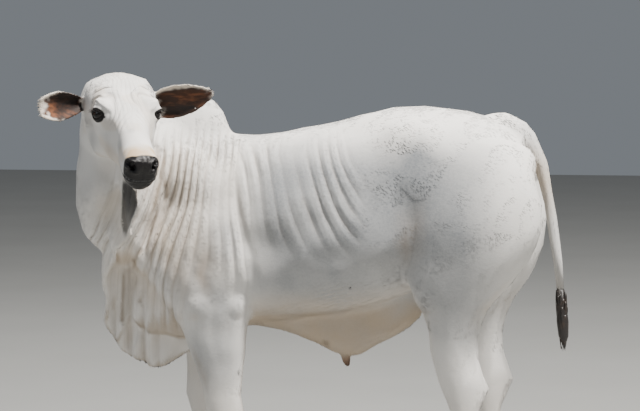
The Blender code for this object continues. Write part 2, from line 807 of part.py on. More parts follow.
def tail_nodes(torso):
    rows = eased([(x, 0, z, radius) for x, z, radius in TAIL], 2)
    points = [(Vector(row[:3]), row[3]) for row in rows]
    tail = loft("tail", tube_outlines(points, 10))
    carved(tail, block("below", (0.5, -0.1, 0.5), (0.9, 0.1, SWITCH_TOP)))
    set_against(tail, torso)
    finished(tail, "tail", "short_white_coat", COAT)

    random.seed(7)
    top = Vector((TAIL[-1][0], 0, SWITCH_TOP - GAP))
    core_rows = ((0.00, 0.0125), (0.20, 0.0160), (0.50, 0.0200), (0.75, 0.0175), (0.93, 0.0040))
    core = [
        (top + Vector((SWITCH_SWEEP * share, 0, -SWITCH_LENGTH * share)), radius)
        for share, radius in core_rows
    ]
    level = [
        section(c, Vector((0, 1, 0)), Vector((1, 0, 0)), r, r, r, sides=10) for c, r in core
    ]
    switch = loft("tail_switch", level)
    locks = []
    for k in range(SWITCH_LOCKS):
        turn = 2.4 * k
        start = 0.06 + 0.66 * k / SWITCH_LOCKS
        length = SWITCH_LENGTH * random.uniform(0.26, 0.36) * (1.15 - 0.35 * start)
        locks.append(lock_form(top, turn, start, length))
    fused_in(switch, locks)
    keep_largest(switch)
    finished(switch, "tail_switch", "black_switch_hair", SWITCH_BLACK)


def lock_form(top, turn, start, length):
    """One flat lock of the switch: it leaves the core low, bends along it and ends in a point."""
    out = Vector((math.cos(turn), math.sin(turn), 0))
    side = Vector((-out.y, out.x, 0))
    fullness = 0.0175 * math.sin(math.pi * min(1, 0.18 + 0.9 * start)) + 0.004
    outlines = []
    for share, width, lift in ((0.0, 0.5, -0.55), (0.2, 1.0, 0.12), (0.5, 1.0, 0.42),
                               (0.8, 0.6, 0.52), (1.0, 0.08, 0.46)):
        along = SWITCH_LENGTH * start + length * share
        place = top + Vector((SWITCH_SWEEP * along / SWITCH_LENGTH, 0, -along))
        place += out * (fullness + 0.007 * lift * (1 - start))
        place += side * 0.004 * math.sin(3 * share + turn)
        outlines.append(section(place, side, out, 0.0070 * width, 0.0026 * width + 0.0003,
                                0.0030 * width + 0.0003, sides=6))
    return loft("lock", outlines)


def claw_node(name, foot_x, y):
    outlines = []
    for z, toe, heel, half in CLAW:
        middle = (toe + heel) / 2
        outlines.append(section(
            Vector((foot_x + middle, y, z)), Vector((0, 1, 0)), Vector((1, 0, 0)),
            half, (heel - toe) / 2, (heel - toe) / 2, 2.4, 0.28, 14,
        ))
    return finished(loft(name, outlines), name, "grey_hoof_horn", HORN_GREY)


def foot_nodes(nodes):
    """Two claws and two dewclaws under each leg."""
    feet = (
        ("foreleg", FORE_LEG, FAR_FORE_STEP, 0.010),
        ("hindleg", HIND_LEG, FAR_HIND_STEP, 0.010),
    )
    for leg, rows, far_step, ahead in feet:
        for side in (LEFT, RIGHT):
            step = far_step if side == RIGHT else 0
            z, front, rear, inner, outer = rows[-1]
            x = (front + rear) / 2 + step - ahead * 0.4
            y = side * (inner + outer) / 2
            for place, way in (("inner", -side), ("outer", side)):
                name = f"claw_{leg}_{SIDE_NAMES[side]}_{place}"
                claw_node(name, x, y + way * CLAW_SPREAD)
            fetlock_rear = rows[-4][2] + step
            for place, way in (("inner", -side), ("outer", side)):
                name = f"dewclaw_{leg}_{SIDE_NAMES[side]}_{place}"
                spot = Vector((fetlock_rear - 0.008, y + way * 0.019, 0.120))
                tip = Matrix.Rotation(math.radians(25), 3, "Y")
                radii = (DEWCLAW_RADIUS, DEWCLAW_RADIUS * 0.9, DEWCLAW_RADIUS * 1.6)
                nub = ball(name, spot, radii, tip, 2)
                set_against(nub, nodes[f"{leg}_{SIDE_NAMES[side]}"])
                finished(nub, name, "grey_hoof_horn", HORN_GREY)


def sheath_tip_node(torso):
    points = [
        (Vector((0.074, 0, 0.560)), 0.0150),
        (Vector((0.080, 0, 0.530)), 0.0140),
        (Vector((0.084, 0, 0.514)), 0.0115),
        (Vector((0.087, 0, 0.504)), 0.0060),
    ]
    tip = set_against(loft("sheath_tip", tube_outlines(points, 12)), torso)
    return finished(tip, "sheath_tip", "brown_bare_skin", BROWN_SKIN)


def centred_on_floor():
    """Puts the middle of the whole, seen from above, over the origin."""
    low = Vector((9, 9, 9))
    high = -low
    for obj in bpy.data.objects:
        for vertex in obj.data.vertices:
            low = Vector(map(min, low, vertex.co))
            high = Vector(map(max, high, vertex.co))
    shift = Matrix.Translation((-(low.x + high.x) / 2, -(low.y + high.y) / 2, 0))
    for obj in bpy.data.objects:
        obj.data.transform(shift)


def main():
    clear_scene()
    nodes = flesh_nodes()
    head, neck, torso = nodes["head"], nodes["neck"], nodes["torso"]
    dewlap = set_against(dewlap_node(), head, neck, torso, nodes["foreleg_left"],
                         nodes["foreleg_right"])
    finished(dewlap, "dewlap", "short_white_coat", COAT)
    for side in (LEFT, RIGHT):
        ear = set_against(ear_node(side), head)
        finished(ear, ear.name, "short_white_coat", COAT)
    head_details(head)
    for side in (LEFT, RIGHT):
        eye = eye_node(side)
        carved(head, swollen(eye, GAP))
        finished(eye, eye.name, "eye_wet_black", EYE_BLACK)
    close_short_edges(keep_largest(head))
    finished(head, "head", "short_white_coat", COAT)
    tail_nodes(torso)
    sheath_tip_node(torso)
    foot_nodes(nodes)
    centred_on_floor()


main()
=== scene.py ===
"""Dresses a young white zebu bull, a still life-size model that stands with its head turned.

One skin covers the solids of flesh. Over it lie the short coat in thin tufts, wet eyes with black
rims and lashes, ribbed hooves and the black switch of the tail. Places are worked out in the
animal's own frame (nose end towards -X, its left side towards -Y) and moved by SHIFT at the end.
"""

import math

import bmesh
import bpy
import numpy as np
from mathutils import Matrix, Vector


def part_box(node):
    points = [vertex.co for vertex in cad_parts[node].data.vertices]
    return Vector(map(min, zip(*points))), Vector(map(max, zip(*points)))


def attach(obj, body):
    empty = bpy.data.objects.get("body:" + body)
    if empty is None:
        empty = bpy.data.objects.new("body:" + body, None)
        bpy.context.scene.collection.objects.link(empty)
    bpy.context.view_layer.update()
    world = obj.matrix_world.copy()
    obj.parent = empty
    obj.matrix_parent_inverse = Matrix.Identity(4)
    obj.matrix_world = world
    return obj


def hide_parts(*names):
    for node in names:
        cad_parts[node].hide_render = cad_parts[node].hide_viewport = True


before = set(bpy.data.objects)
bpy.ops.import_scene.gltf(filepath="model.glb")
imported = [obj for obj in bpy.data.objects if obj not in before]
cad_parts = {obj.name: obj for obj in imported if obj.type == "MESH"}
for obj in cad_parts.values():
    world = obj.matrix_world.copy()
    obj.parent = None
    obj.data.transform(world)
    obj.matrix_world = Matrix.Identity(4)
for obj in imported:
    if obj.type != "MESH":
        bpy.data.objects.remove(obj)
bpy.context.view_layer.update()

BODY = "root"

# The head: its own frame starts between the ears and runs to the muzzle.
HEAD_START = np.array((-0.566, -0.275, 1.319))
HEAD_YAW = math.radians(24)
HEAD_PITCH = math.radians(27)
EYE_PLACE = (0.158, 0.077, 0.045)
EYE_RADIUS = 0.0225
EYE_TURN = math.radians(52)
EYE_SLIT_TILT = math.radians(16)
# Each lid's edge: how far it rises, in radii of the eye, and where across it, in degrees.
UPPER_LID = (0.84 * 0.90, 6)
LOWER_LID = (-0.66 * 0.90, -8)
# The corners of the lids lie this many degrees to either side of the eye's middle.
LID_SWING = 62
LEFT, RIGHT = -1, 1
SIDE_NAMES = {LEFT: "left", RIGHT: "right"}

FLESH = [
    "head", "neck", "torso", "dewlap", "ear_left", "ear_right", "foreleg_left",
    "foreleg_right", "hindleg_left", "hindleg_right", "tail", "sheath_tip",
]
# The ears: each one's way to its tip, the way its cup opens, its root on the head, its length.
EAR_REACH = {LEFT: (0.965, -0.190, 0.170), RIGHT: (-0.450, -0.880, -0.020)}
EAR_OPENING = {LEFT: (0.10, -0.96, -0.22), RIGHT: (0.78, -0.60, 0.02)}
EAR_PLACE = (0.028, 0.104, 0.004)
EAR_LENGTH = 0.208

# The hide: its cell size, its triangles, how far the solids swell to meet, and the coat's depth.
SKIN_VOXEL = 0.0030
SKIN_TRIANGLES = 186000
JOIN_SWELL = 0.0007
COAT_DEPTH = 0.0022
TUFTS = 96000
SEED = 11
# One step in and one out while a surface is evened out.
RELAXING_STEPS = (0.55, -0.57)
RELAXING_ROUNDS = 5
EVENING_ROUNDS = 46
FILLING_ROUNDS = 110

# Upright folds of the neck and shoulder fan out between a front and a rear line: height, x, x.
FAN = (
    (1.25, -0.450, -0.215), (1.20, -0.455, -0.229), (1.00, -0.478, -0.229), (0.90, -0.548, -0.200),
    (0.85, -0.575, -0.178), (0.70, -0.625, -0.178), (0.55, -0.630, -0.185),
)
# How many folds lie between the two lines, and how sharp the creases between folds are.
FAN_FOLDS = 10.5
FOLD_SHARPNESS = 0.17
# Depths of the three families of folds: the fan, the ribs, the dewlap's pleats.
FOLD_DEPTHS = (0.0048, 0.0034, 0.0085)
# Where the jaw meets the throat, on the side that is seen.
JAW_LINE = (
    (-0.648, -0.335, 1.265), (-0.646, -0.318, 1.212), (-0.631, -0.329, 1.183),
    (-0.609, -0.338, 1.158), (-0.585, -0.336, 1.143), (-0.569, -0.331, 1.134),
    (-0.550, -0.335, 1.112),
)
# The mouth's height in the head's frame.
MOUTH_LINE = -0.0245
# Depth of the folds that are finer than the mesh.
SLACK_DEPTH = 0.0042
# The hide ends inside the hooves, at this height.
LOWEST_HIDE = 0.066

# A tuft of the short coat: its size, how it lifts, how flat it is, how deep its root lies.
TUFT_LENGTH, TUFT_WIDTH = 0.0118, 0.0019
TUFT_LIFT = 0.035
TUFT_FLATNESS = 0.06
ROOT_DEPTH = 0.0006
TUFT_POINTS = 7
# Where a tuft's points lie on its patch of the flat map, which is this wide.
TUFT_MAP = ((0, 0), (1, 0), (0.5, 0.3), (0.1, 0.5), (0.9, 0.5), (0.5, 0.7), (0.5, 1))
PATCH = 0.003

# The photograph's camera: its turn and place, and its focal length and dip in the photo's pixels.
CAMERA_TURN = math.radians(8)
CAMERA_DISTANCE, CAMERA_HEIGHT = 8, 1.64
FOCAL_PIXELS, DIP_PIXELS, PICTURE_WIDTH = 2664, 215.5, 640
SENSOR_WIDTH = 36
FLOOR_HALF = 16.0
BODY_MIDDLE = 0.8

COAT_PIECES = ("left_fore", "right_fore", "left_hind", "right_hind", "neck", "legs", "tail",
               "head", "ears")
# Turn from one lock of the switch to the next, so that no two hang in line.
LOCK_TURN = 2.39996


def unit(v):
    v = np.asarray(v, float)
    return v / np.linalg.norm(v)


LEVEL = np.array((math.sin(HEAD_YAW), -math.cos(HEAD_YAW), 0.0))
ALONG = LEVEL * math.cos(HEAD_PITCH) - np.array((0, 0, 1.0)) * math.sin(HEAD_PITCH)
TO_LEFT = np.array((-LEVEL[1], LEVEL[0], 0.0))
UPWARD = np.cross(ALONG, TO_LEFT)


def in_head(a, b, c):
    return HEAD_START + ALONG * a + TO_LEFT * b + UPWARD * c


def head_coords(points):
    """Distance along the head, to its left, and up from its axis, of each point."""
    from_start = points - HEAD_START
    return from_start @ ALONG, from_start @ TO_LEFT, from_start @ UPWARD


def beside_head(side, place):
    """A place given for one side of the head, on either side of it."""
    a, b, c = place
    return in_head(a, -side * b, c)


def eye_centre(side):
    return beside_head(side, EYE_PLACE)


def eye_ways(side):
    """The directions of one eye: out of it, along its slit to the inner corner, and up."""
    facing = -side * TO_LEFT * math.sin(EYE_TURN) + ALONG * math.cos(EYE_TURN)
    slit = ALONG * math.cos(EYE_SLIT_TILT) + UPWARD * math.sin(EYE_SLIT_TILT)
    slit = unit(slit - facing * (slit @ facing))
    up_way = np.cross(facing, slit)
    return facing, slit, up_way if up_way @ UPWARD > 0 else -up_way


low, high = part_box("eye_left")
SHIFT = (np.array(low) + np.array(high)) / 2 - eye_centre(LEFT)


def middle_of(name):
    """The middle of a solid's box, in the animal's own frame."""
    low, high = (np.array(corner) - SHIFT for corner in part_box(name))
    return (low + high) / 2


# Shapes and meshes.

def eased(x, low, high):
    """0 below low, 1 above high, and a soft step between them."""
    t = np.clip((x - low) / (high - low), 0, 1)
    return t * t * (3 - 2 * t)


def band(x, low, high, soft):
    return eased(x, low - soft, low + soft) * (1 - eased(x, high - soft, high + soft))


def around(points, centre, radius):
    """1 at a place, falling softly to 0 at a distance from it."""
    gap = ((points - np.asarray(centre)) ** 2).sum(1) / radius ** 2
    return np.clip(1 - gap, 0, 1) ** 2


def waves(points, pitch, seed, layers=7):
    """Smooth irregular values, about -1 to 1, that change over a distance of about the pitch."""
    rng = np.random.default_rng(seed)
    total = np.zeros(len(points))
    for _ in range(layers):
        way = unit(rng.normal(size=3)) * rng.uniform(0.7, 1.5) * 2 * math.pi / pitch / 2
        total += np.sin(points @ way + rng.uniform(0, 6.3))
    return total / math.sqrt(layers) / 0.8


def furrow(offset, width):
    """A soft groove's profile: 1 on its line, 0 a few widths off it."""
    return np.exp(-(offset / width) ** 2)


def across_view(x, y):
    """How far to the right a place lies in the photograph's view."""
    return 0.99 * x + 0.139 * y


def on_side(place, side):
    """A place of the right side, or its mirror image on the left."""
    return place[0], side * place[1], place[2]


def segment_gap(points, line):
    """Distance from each point to a broken line, and how far along it the nearest place lies."""
    best = np.full(len(points), np.inf)
    share = np.zeros(len(points))
    line = np.asarray(line, float)
    for i, (a, b) in enumerate(zip(line, line[1:])):
        ab = b - a
        t = np.clip((points - a) @ ab / (ab @ ab), 0, 1)
        gap = np.linalg.norm(points - a - t[:, None] * ab, axis=1)
        nearer = gap < best
        best[nearer] = gap[nearer]
        share[nearer] = ((i + t) / (len(line) - 1))[nearer]
    return best, share


def values_of(items, key, width, kind=np.float32):
    """One value of each of a mesh's items, in rows of numbers."""
    values = np.empty(len(items) * width, kind)
    items.foreach_get(key, values)
    return values.reshape(-1, width)


def mesh_points(mesh):
    return values_of(mesh.vertices, "co", 3).astype(float)


def vertex_normals(mesh):
    return values_of(mesh.vertex_normals, "vector", 3).astype(float)


def put_points(mesh, points):
    mesh.vertices.foreach_set("co", points.astype(np.float32).ravel())
    mesh.update()


def write_on(mesh, name, values):
    """Writes rows of three numbers, or of a colour's four, on a mesh's points."""
    values = np.asarray(values, np.float32)
    kind, key = (("FLOAT_COLOR", "color") if values.shape[1] == 4 else ("FLOAT_VECTOR", "vector"))
    mesh.attributes.new(name, kind, "POINT").data.foreach_set(key, values.ravel())


def flat_map(mesh, name, places):
    """Gives a mesh a flat map on which each of its points has one place."""
    loops = values_of(mesh.loops, "vertex_index", 1, np.int32).ravel()
    layer = mesh.uv_layers.new(name=name)
    layer.data.foreach_set("uv", np.asarray(places)[loops].astype(np.float32).ravel())


def neighbour_sum(column, edges, count):
    """The sum of a value over each point's neighbours."""
    return (np.bincount(edges[:, 0], column[edges[:, 1]], count)
            + np.bincount(edges[:, 1], column[edges[:, 0]], count))


def relaxed(points, edges, weight, rounds):
    """Evens out a surface by small steps in and out, so that it doesn't shrink."""
    count = len(points)
    degree = np.bincount(edges.ravel(), minlength=count).clip(1)[:, None]
    for k in range(2 * rounds):
        step = RELAXING_STEPS[k % 2]
        total = np.empty_like(points)
        for axis in range(3):
            total[:, axis] = neighbour_sum(points[:, axis], edges, count)
        points = points + (total / degree - points) * (step * weight)[:, None]
    return points


def evened(points, edges, weight, rounds):
    """Takes the facets out of a surface but keeps its size: it adds the blurred loss back."""
    count = len(points)
    degree = np.bincount(edges.ravel(), minlength=count).clip(1)
    pull = 0.9 * weight / degree

    def blurred(values):
        for _ in range(rounds):
            for axis in range(3):
                column = values[:, axis]
                total = neighbour_sum(column, edges, count)
                values[:, axis] = column + pull * (total - degree * column)
        return values

    smooth = blurred(points.copy())
    return smooth + blurred(points - smooth)


def filled(points, edges, share, rounds):
    """Takes a valley out of a surface, near the places where the share is more than nothing."""
    near = np.where(share > 0)[0]
    number = np.full(len(points), -1)
    number[near] = np.arange(len(near))
    pairs = number[edges]
    pairs = pairs[(pairs >= 0).all(axis=1)]
    count = len(near)
    degree = np.bincount(pairs.ravel(), minlength=count).clip(1)
    pull = 0.5 * share[near] / degree
    points = points.copy()
    own = points[near]
    for _ in range(rounds):
        for axis in range(3):
            column = own[:, axis]
            total = neighbour_sum(column, pairs, count)
            own[:, axis] = column + pull * (total - degree * column)
    points[near] = own
    return points


def new_object(name, mesh):
    obj = bpy.data.objects.new(name, mesh)
    bpy.context.scene.collection.objects.link(obj)
    return obj


def settled(obj):
    """The object's mesh with its modifiers applied, as a plain mesh of its own."""
    bpy.context.view_layer.update()
    graph = bpy.context.evaluated_depsgraph_get()
    mesh = bpy.data.meshes.new_from_object(obj.evaluated_get(graph))
    obj.modifiers.clear()
    obj.data = mesh
    return obj


def mesh_of(name, points, faces):
    mesh = bpy.data.meshes.new(name)
    mesh.from_pydata([tuple(p) for p in points], [], [tuple(f) for f in faces])
    mesh.update()
    return mesh


def turned_out(mesh, weld=None):
    """Merges points that coincide, where asked, and turns all faces outwards."""
    bm = bmesh.new()
    bm.from_mesh(mesh)
    if weld:
        bmesh.ops.remove_doubles(bm, verts=bm.verts, dist=weld)
    bmesh.ops.recalc_face_normals(bm, faces=bm.faces)
    bm.to_mesh(mesh)
    bm.free()
    mesh.shade_smooth()


def tube_faces(rows, sides, closed=False):
    """The faces of a tube of rows of points, with flat ends unless it closes on itself."""
    faces = []
    for i in range(rows if closed else rows - 1):
        j = (i + 1) % rows
        for k in range(sides):
            m = (k + 1) % sides
            faces.append((i * sides + k, i * sides + m, j * sides + m, j * sides + k))
    if not closed:
        faces.append(tuple(range(sides - 1, -1, -1)))
        faces.append(tuple((rows - 1) * sides + k for k in range(sides)))
    return faces


def loft(name, rings, closed=False):
    """A closed form through rings of the same number of points, in order along it."""
    points = np.vstack([np.asarray(ring, float) for ring in rings])
    mesh = mesh_of(name, points + SHIFT, tube_faces(len(rings), len(rings[0]), closed))
    turned_out(mesh)
    return new_object(name, mesh)


# The skin.

def joined_flesh():
    """Copies of the flesh solids, a little swollen so that they meet, as one remeshed form."""
    bm = bmesh.new()
    for name in FLESH:
        part = bmesh.new()
        part.from_mesh(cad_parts[name].data)
        bmesh.ops.remove_doubles(part, verts=part.verts, dist=1e-6)
        part.normal_update()
        for vertex in part.verts:
            vertex.co += vertex.normal * JOIN_SWELL
        copy = bpy.data.meshes.new("copy")
        part.to_mesh(copy)
        part.free()
        bm.from_mesh(copy)
        bpy.data.meshes.remove(copy)
    mesh = bpy.data.meshes.new("skin")
    bm.to_mesh(mesh)
    bm.free()
    skin = new_object("skin", mesh)
    fuse = skin.modifiers.new("Fuse", "REMESH")
    fuse.mode = "VOXEL"
    fuse.voxel_size = SKIN_VOXEL
    return settled(skin)


def ear_ways(side):
    """An ear's direction to its tip, and the way its cup opens."""
    reach = unit(EAR_REACH[side])
    opening = np.array(EAR_OPENING[side])
    return reach, unit(opening - reach * (opening @ reach))


def ear_coords(points, side):
    """Share of the ear's length, distance across it, and height towards its opening."""
    reach, opening = ear_ways(side)
    from_root = points - (beside_head(side, EAR_PLACE) - reach * 0.014)
    return from_root @ reach / EAR_LENGTH, from_root @ np.cross(reach, opening), from_root @ opening


def ear_mask(points, side):
    share, across, lift = ear_coords(points, side)
    return (band(share, 0.12, 1.2, 0.05) * band(across, -0.066, 0.066, 0.006)
            * band(lift, -0.03, 0.075, 0.01))


def regions(points, normals):
    """Soft masks of the parts of the body that folds, colours and hair depend on."""
    x, y, z = points.T
    a, b, c = head_coords(points)
    ears = np.maximum(ear_mask(points, LEFT), ear_mask(points, RIGHT))
    head = band(a, -0.005, 0.5, 0.02) * band(b, -0.15, 0.15, 0.02) * eased(c, -0.135, -0.115)
    head *= eased(-y, 0.18, 0.22) * (1 - ears)
    legs = 1 - eased(z, 0.56, 0.68)
    legs *= (np.abs(y) > 0.045) | (z < 0.45)
    tail = eased(x, 0.585, 0.62) * (1 - eased(np.abs(y), 0.03, 0.045))
    return {
        "a": a, "b": b, "c": c, "x": x, "y": y, "z": z, "head": head, "ears": ears,
        "legs": legs, "tail": tail, "off_head": (1 - head) * (1 - ears),
        "sideways": eased(np.abs(normals[:, 1]), 0.25, 0.7),
        "down": eased(-normals[:, 2], 0.2, 0.8),
    }


def eye_gap(points, side):
    """Each point's direction from an eye, as how far along its slit, up, and out, in eye radii."""
    facing, slit, up_way = eye_ways(side)
    from_eye = (points - eye_centre(side)) / EYE_RADIUS
    return from_eye @ slit, from_eye @ up_way, from_eye @ facing


def brow_rings(points, area, side):
    """The wrinkles that ring an eye over its brow: their count outwards, and their share."""
    along, up, out = eye_gap(points, side)
    ring = np.sqrt(along ** 2 * 0.66 + up ** 2)
    above = eased(up + 0.42 * along, -0.5, 0.7)
    near = (area["b"] * side < 0) * (out > -3.0)
    rings = (ring + 0.08 * waves(points, 0.035, 5 + side) - 1.42) / 0.60
    calm = eased(np.abs(area["b"]), 0.004, 0.020) * (1 - 0.75 * eased(area["a"], 0.145, 0.195))
    return rings, band(ring, 1.55, 4.3, 0.30) * above * area["head"] * near * calm


def head_relief(points, area):
    """Folds, rims and hollows of the head, as a height along the surface's normal."""
    a, b, c = area["a"], area["b"], area["c"]
    on_head = area["head"]
    height = np.zeros(len(points))
    for side in (LEFT, RIGHT):
        # Cheekbone ridge, jaw muscle and the hollows in front of the eye and behind the mouth.
        ridge, _ = segment_gap(points, [in_head(0.165, -side * 0.088, -0.002),
                                        in_head(0.215, -side * 0.078, -0.012),
                                        in_head(0.275, -side * 0.060, -0.018)])
        height += 0.0036 * furrow(ridge, 0.012) * on_head
        height += 0.0050 * around(points, in_head(0.075, -side * 0.100, -0.045), 0.060)
        height -= 0.0030 * around(points, in_head(0.225, -side * 0.062, 0.035), 0.040)
        height -= 0.0022 * around(points, in_head(0.300, -side * 0.052, -0.020), 0.030)
        # The wrinkles that ring the eye over the brow, the brow's fold and the tear line.
        along, up, _ = eye_gap(points, side)
        ring = np.sqrt(along ** 2 * 0.62 + up ** 2)
        rings, spread = brow_rings(points, area, side)
        lift = folded(rings)
        height += 0.0024 * lift * spread
        height += 0.0060 * around(points, in_head(0.185, -side * 0.082, -0.072), 0.075)
        height += 0.0040 * around(points, in_head(0.250, -side * 0.060, -0.060), 0.060)
        height += 0.0030 * furrow(ring - 1.48, 0.20) * eased(up, 0.1, 0.8) * on_head
        tear, _ = segment_gap(points, [in_head(0.186, -side * 0.058, 0.044),
                                       in_head(0.222, -side * 0.060, 0.026)])
        height -= 0.0022 * furrow(tear, 0.0045) * on_head
        # Nostrils: a comma-shaped hollow under a raised wing.
        hole, _ = segment_gap(points, [in_head(0.414, -side * 0.020, 0.008),
                                       in_head(0.411, -side * 0.031, 0.022),
                                       in_head(0.398, -side * 0.042, 0.021)])
        height += 0.0026 * furrow(hole - 0.0100, 0.0040) * on_head
        height -= 0.0120 * furrow(hole, 0.0055) * on_head
    # Philtrum, upper lip, mouth line, lower lip and chin.
    front = eased(a, 0.330, 0.350)
    height -= 0.0022 * furrow(b, 0.0028) * band(c, -0.026, 0.022, 0.006) * eased(a, 0.40, 0.415)
    mouth = c - MOUTH_LINE
    lips = eased(a, 0.315, 0.335) * on_head
    height -= 0.0056 * furrow(mouth, 0.0022) * lips
    height += 0.0014 * furrow(mouth - 0.0065, 0.0045) * lips
    height += 0.0016 * furrow(mouth + 0.0065, 0.0040) * lips
    height += 0.0020 * around(points, in_head(0.390, 0, -0.058), 0.026) * front
    # Forehead: a shallow hollow between the brows, and slack skin down the bridge.
    height -= 0.0024 * furrow(b, 0.018) * band(a, 0.08, 0.20, 0.03) * eased(c, 0.05, 0.08)
    bridge = np.cos(2 * math.pi * (b + 0.002 * waves(points, 0.05, 3)) / 0.017)
    height += 0.0003 * bridge * band(a, 0.14, 0.27, 0.02) * eased(c, 0.03, 0.06) * on_head
    return height


def fan_place(x, z):
    """How far between the fan's front and rear line each place lies, 0 to 1."""
    heights, fronts, rears = (np.array(row) for row in zip(*FAN[::-1]))
    steps = (-0.08, -0.04, 0, 0.04, 0.08)
    front, rear = (sum(np.interp(z + step, heights, line) for step in steps) / 5
                   for line in (fronts, rears))
    return (x - front) / (rear - front)


def folded(lines):
    """A row of slack folds: round crests with narrow creases between them, as a height."""
    off_line = np.abs((lines + 0.5) % 1 - 0.5)
    return 0.5 - 0.5 * np.cos(2 * math.pi * lines) - furrow(off_line, FOLD_SHARPNESS)


def throat_hollow(points):
    """The hollow under the jaw, wide behind the chin and narrow where its sheets meet, where the
    hide is sunk and its shade is painted near black.
    """
    x, y, z = points.T
    across = across_view(x, y)
    heights = (0.915, 0.935, 0.965, 1.020, 1.090)
    middle = np.interp(z, heights, (-0.573, -0.571, -0.566, -0.552, -0.538))
    half = np.interp(z, heights, (0.003, 0.008, 0.018, 0.0275, 0.0345))
    return (1 - eased(np.abs(across - middle), half - 0.004, half + 0.003)) * band(
        z, 0.925, 1.090, 0.012) * eased(-y, 0.23, 0.27)


def fold_field(points, normals, area):
    """Three families of slack folds: where each place lies between their lines, and their shares.

    First the fan on neck and shoulder, and on the head the rings over the eyes; then the ribs'
    folds, and on the head the wrinkles down the bridge; then the cords of dewlap and brisket.
    """
    x, y, z = area["x"], area["y"], area["z"]
    on_head = area["head"]
    off_head = area["off_head"]
    side_on = eased(np.abs(normals[:, 1]), 0.20, 0.55)
    streak = points * (1, 1, 0.30)

    fan = fan_place(x, z)
    fan_lines = FAN_FOLDS * fan + 0.34 * waves(streak, 0.20, 21) + 0.12 * waves(streak, 0.07, 22)
    strength = (0.75 + 0.40 * waves(streak, 0.13, 23)).clip(0.20, 1.15)
    fan_share = band(fan, -0.40, 0.97, 0.06) * band(z, 0.62, 1.20, 0.05) * off_head
    fan_share *= 1 - 0.80 * eased(fan, 0.25, 0.60) * (1 - eased(z, 0.76, 0.92))
    fan_share *= strength * side_on

    lean = x - (0.10 + 1.2 * (x + 0.2).clip(0)) * (1.2 - z)
    rib_lines = lean / 0.037 + 0.35 * waves(streak, 0.14, 31)
    rib_share = band(x, -0.215, 0.16, 0.05) * band(z, 0.92, 1.18, 0.08) * side_on * off_head
    rib_share *= (0.52 + 0.40 * waves(streak, 0.15, 32)).clip(0.08, 0.9)

    # The dewlap's lower sheet hangs in wide upright pleats.
    cord_lines = (across_view(x, y) + 0.618) / 0.044 + 0.14 * waves(streak, 0.20, 24)
    cord_share = eased(-x, 0.46, 0.53) * (1 - eased(z, 0.80, 0.90)) * off_head
    fan_share *= 1 - 0.9 * cord_share

    inside = on_head > 0.5
    for side in (LEFT, RIGHT):
        rings, spread = brow_rings(points, area, side)
        own = inside & (area["b"] * side < 0)
        fan_lines = np.where(own, rings, fan_lines)
        fan_share = np.where(own, 0.9 * spread, fan_share)
    bridge = (area["b"] + 0.003 * waves(points, 0.05, 3)) / 0.013
    bridge_share = band(area["a"], 0.03, 0.22, 0.03) * eased(area["c"], 0.045, 0.07)
    bridge_share *= 1 - eased(np.abs(area["b"]), 0.035, 0.055)
    rib_lines = np.where(inside, bridge, rib_lines)
    rib_share = np.where(inside, 0.26 * bridge_share, rib_share)
    lines = np.column_stack((fan_lines, rib_lines, cord_lines))
    return lines, np.column_stack((fan_share, rib_share, cord_share)).clip(0, 1.2)


# Two deep cords that leave the ear's root and run down the neck into the dewlap: line and depth.
CORDS = (
    (((-0.472, -0.135, 1.173), (-0.460, -0.152, 1.073), (-0.479, -0.158, 0.981),
      (-0.514, -0.167, 0.870), (-0.588, -0.057, 0.774), (-0.602, -0.040, 0.640)), 0.0070),
    (((-0.455, -0.129, 1.161), (-0.443, -0.151, 1.033), (-0.465, -0.175, 0.918),
      (-0.493, -0.173, 0.814), (-0.540, -0.074, 0.703)), 0.0060),
)
# Creases behind the shoulder, on belly line, stifle, buttock, brisket and elbow, before the hump
# and down the shoulder: line on the right side, depth, width.
GROOVES = (
    (((-0.229, 0.15, 1.20), (-0.232, 0.17, 1.03), (-0.206, 0.20, 0.925), (-0.180, 0.21, 0.85),
      (-0.176, 0.20, 0.74), (-0.184, 0.17, 0.655)), 0.0095, 0.010),
    (((-0.178, 0.19, 0.672), (-0.04, 0.20, 0.690), (0.146, 0.20, 0.716), (0.285, 0.17, 0.745)),
     0.0085, 0.011),
    (((0.318, 0.21, 1.02), (0.285, 0.20, 0.90), (0.285, 0.18, 0.78)), 0.0055, 0.020),
    (((0.545, 0.15, 1.13), (0.575, 0.16, 1.02), (0.565, 0.16, 0.90), (0.525, 0.15, 0.80)),
     0.0060, 0.013),
    (((-0.470, 0.14, 1.02), (-0.500, 0.17, 0.90), (-0.490, 0.19, 0.80)), 0.0050, 0.016),
    (((-0.385, 0.17, 0.60), (-0.345, 0.16, 0.52), (-0.322, 0.15, 0.45)), 0.0022, 0.010),
    (((-0.320, 0.125, 1.190), (-0.274, 0.09, 1.222), (-0.248, 0.05, 1.246)), 0.0050, 0.006),
    (((-0.300, 0.19, 0.90), (-0.330, 0.20, 0.80), (-0.300, 0.20, 0.72)), 0.0050, 0.018),
)
# Bones and muscles that show: hip, pin bone, stifle, point of the shoulder, elbow, shoulder,
# forearm and thigh, and the hollow of the loin: place on the right side, height, reach.
SWELLINGS = (
    ((0.255, 0.185, 1.215), 0.0080, 0.060), ((0.595, 0.075, 1.130), 0.0060, 0.045),
    ((0.285, 0.200, 0.800), 0.0050, 0.060), ((-0.475, 0.130, 0.860), 0.0080, 0.060),
    ((-0.215, 0.190, 0.700), 0.0080, 0.045), ((-0.340, 0.215, 0.930), 0.0060, 0.100),
    ((-0.345, 0.190, 0.700), 0.0060, 0.050), ((0.480, 0.210, 0.960), 0.0050, 0.110),
    ((0.110, 0.150, 1.255), -0.0060, 0.080),
)
# How far the fore and hind leg of each side stand from where the tendons' lines are given.
LEG_SHIFTS = ((LEFT, 0.0, 0.0), (RIGHT, -0.105, 0.055))


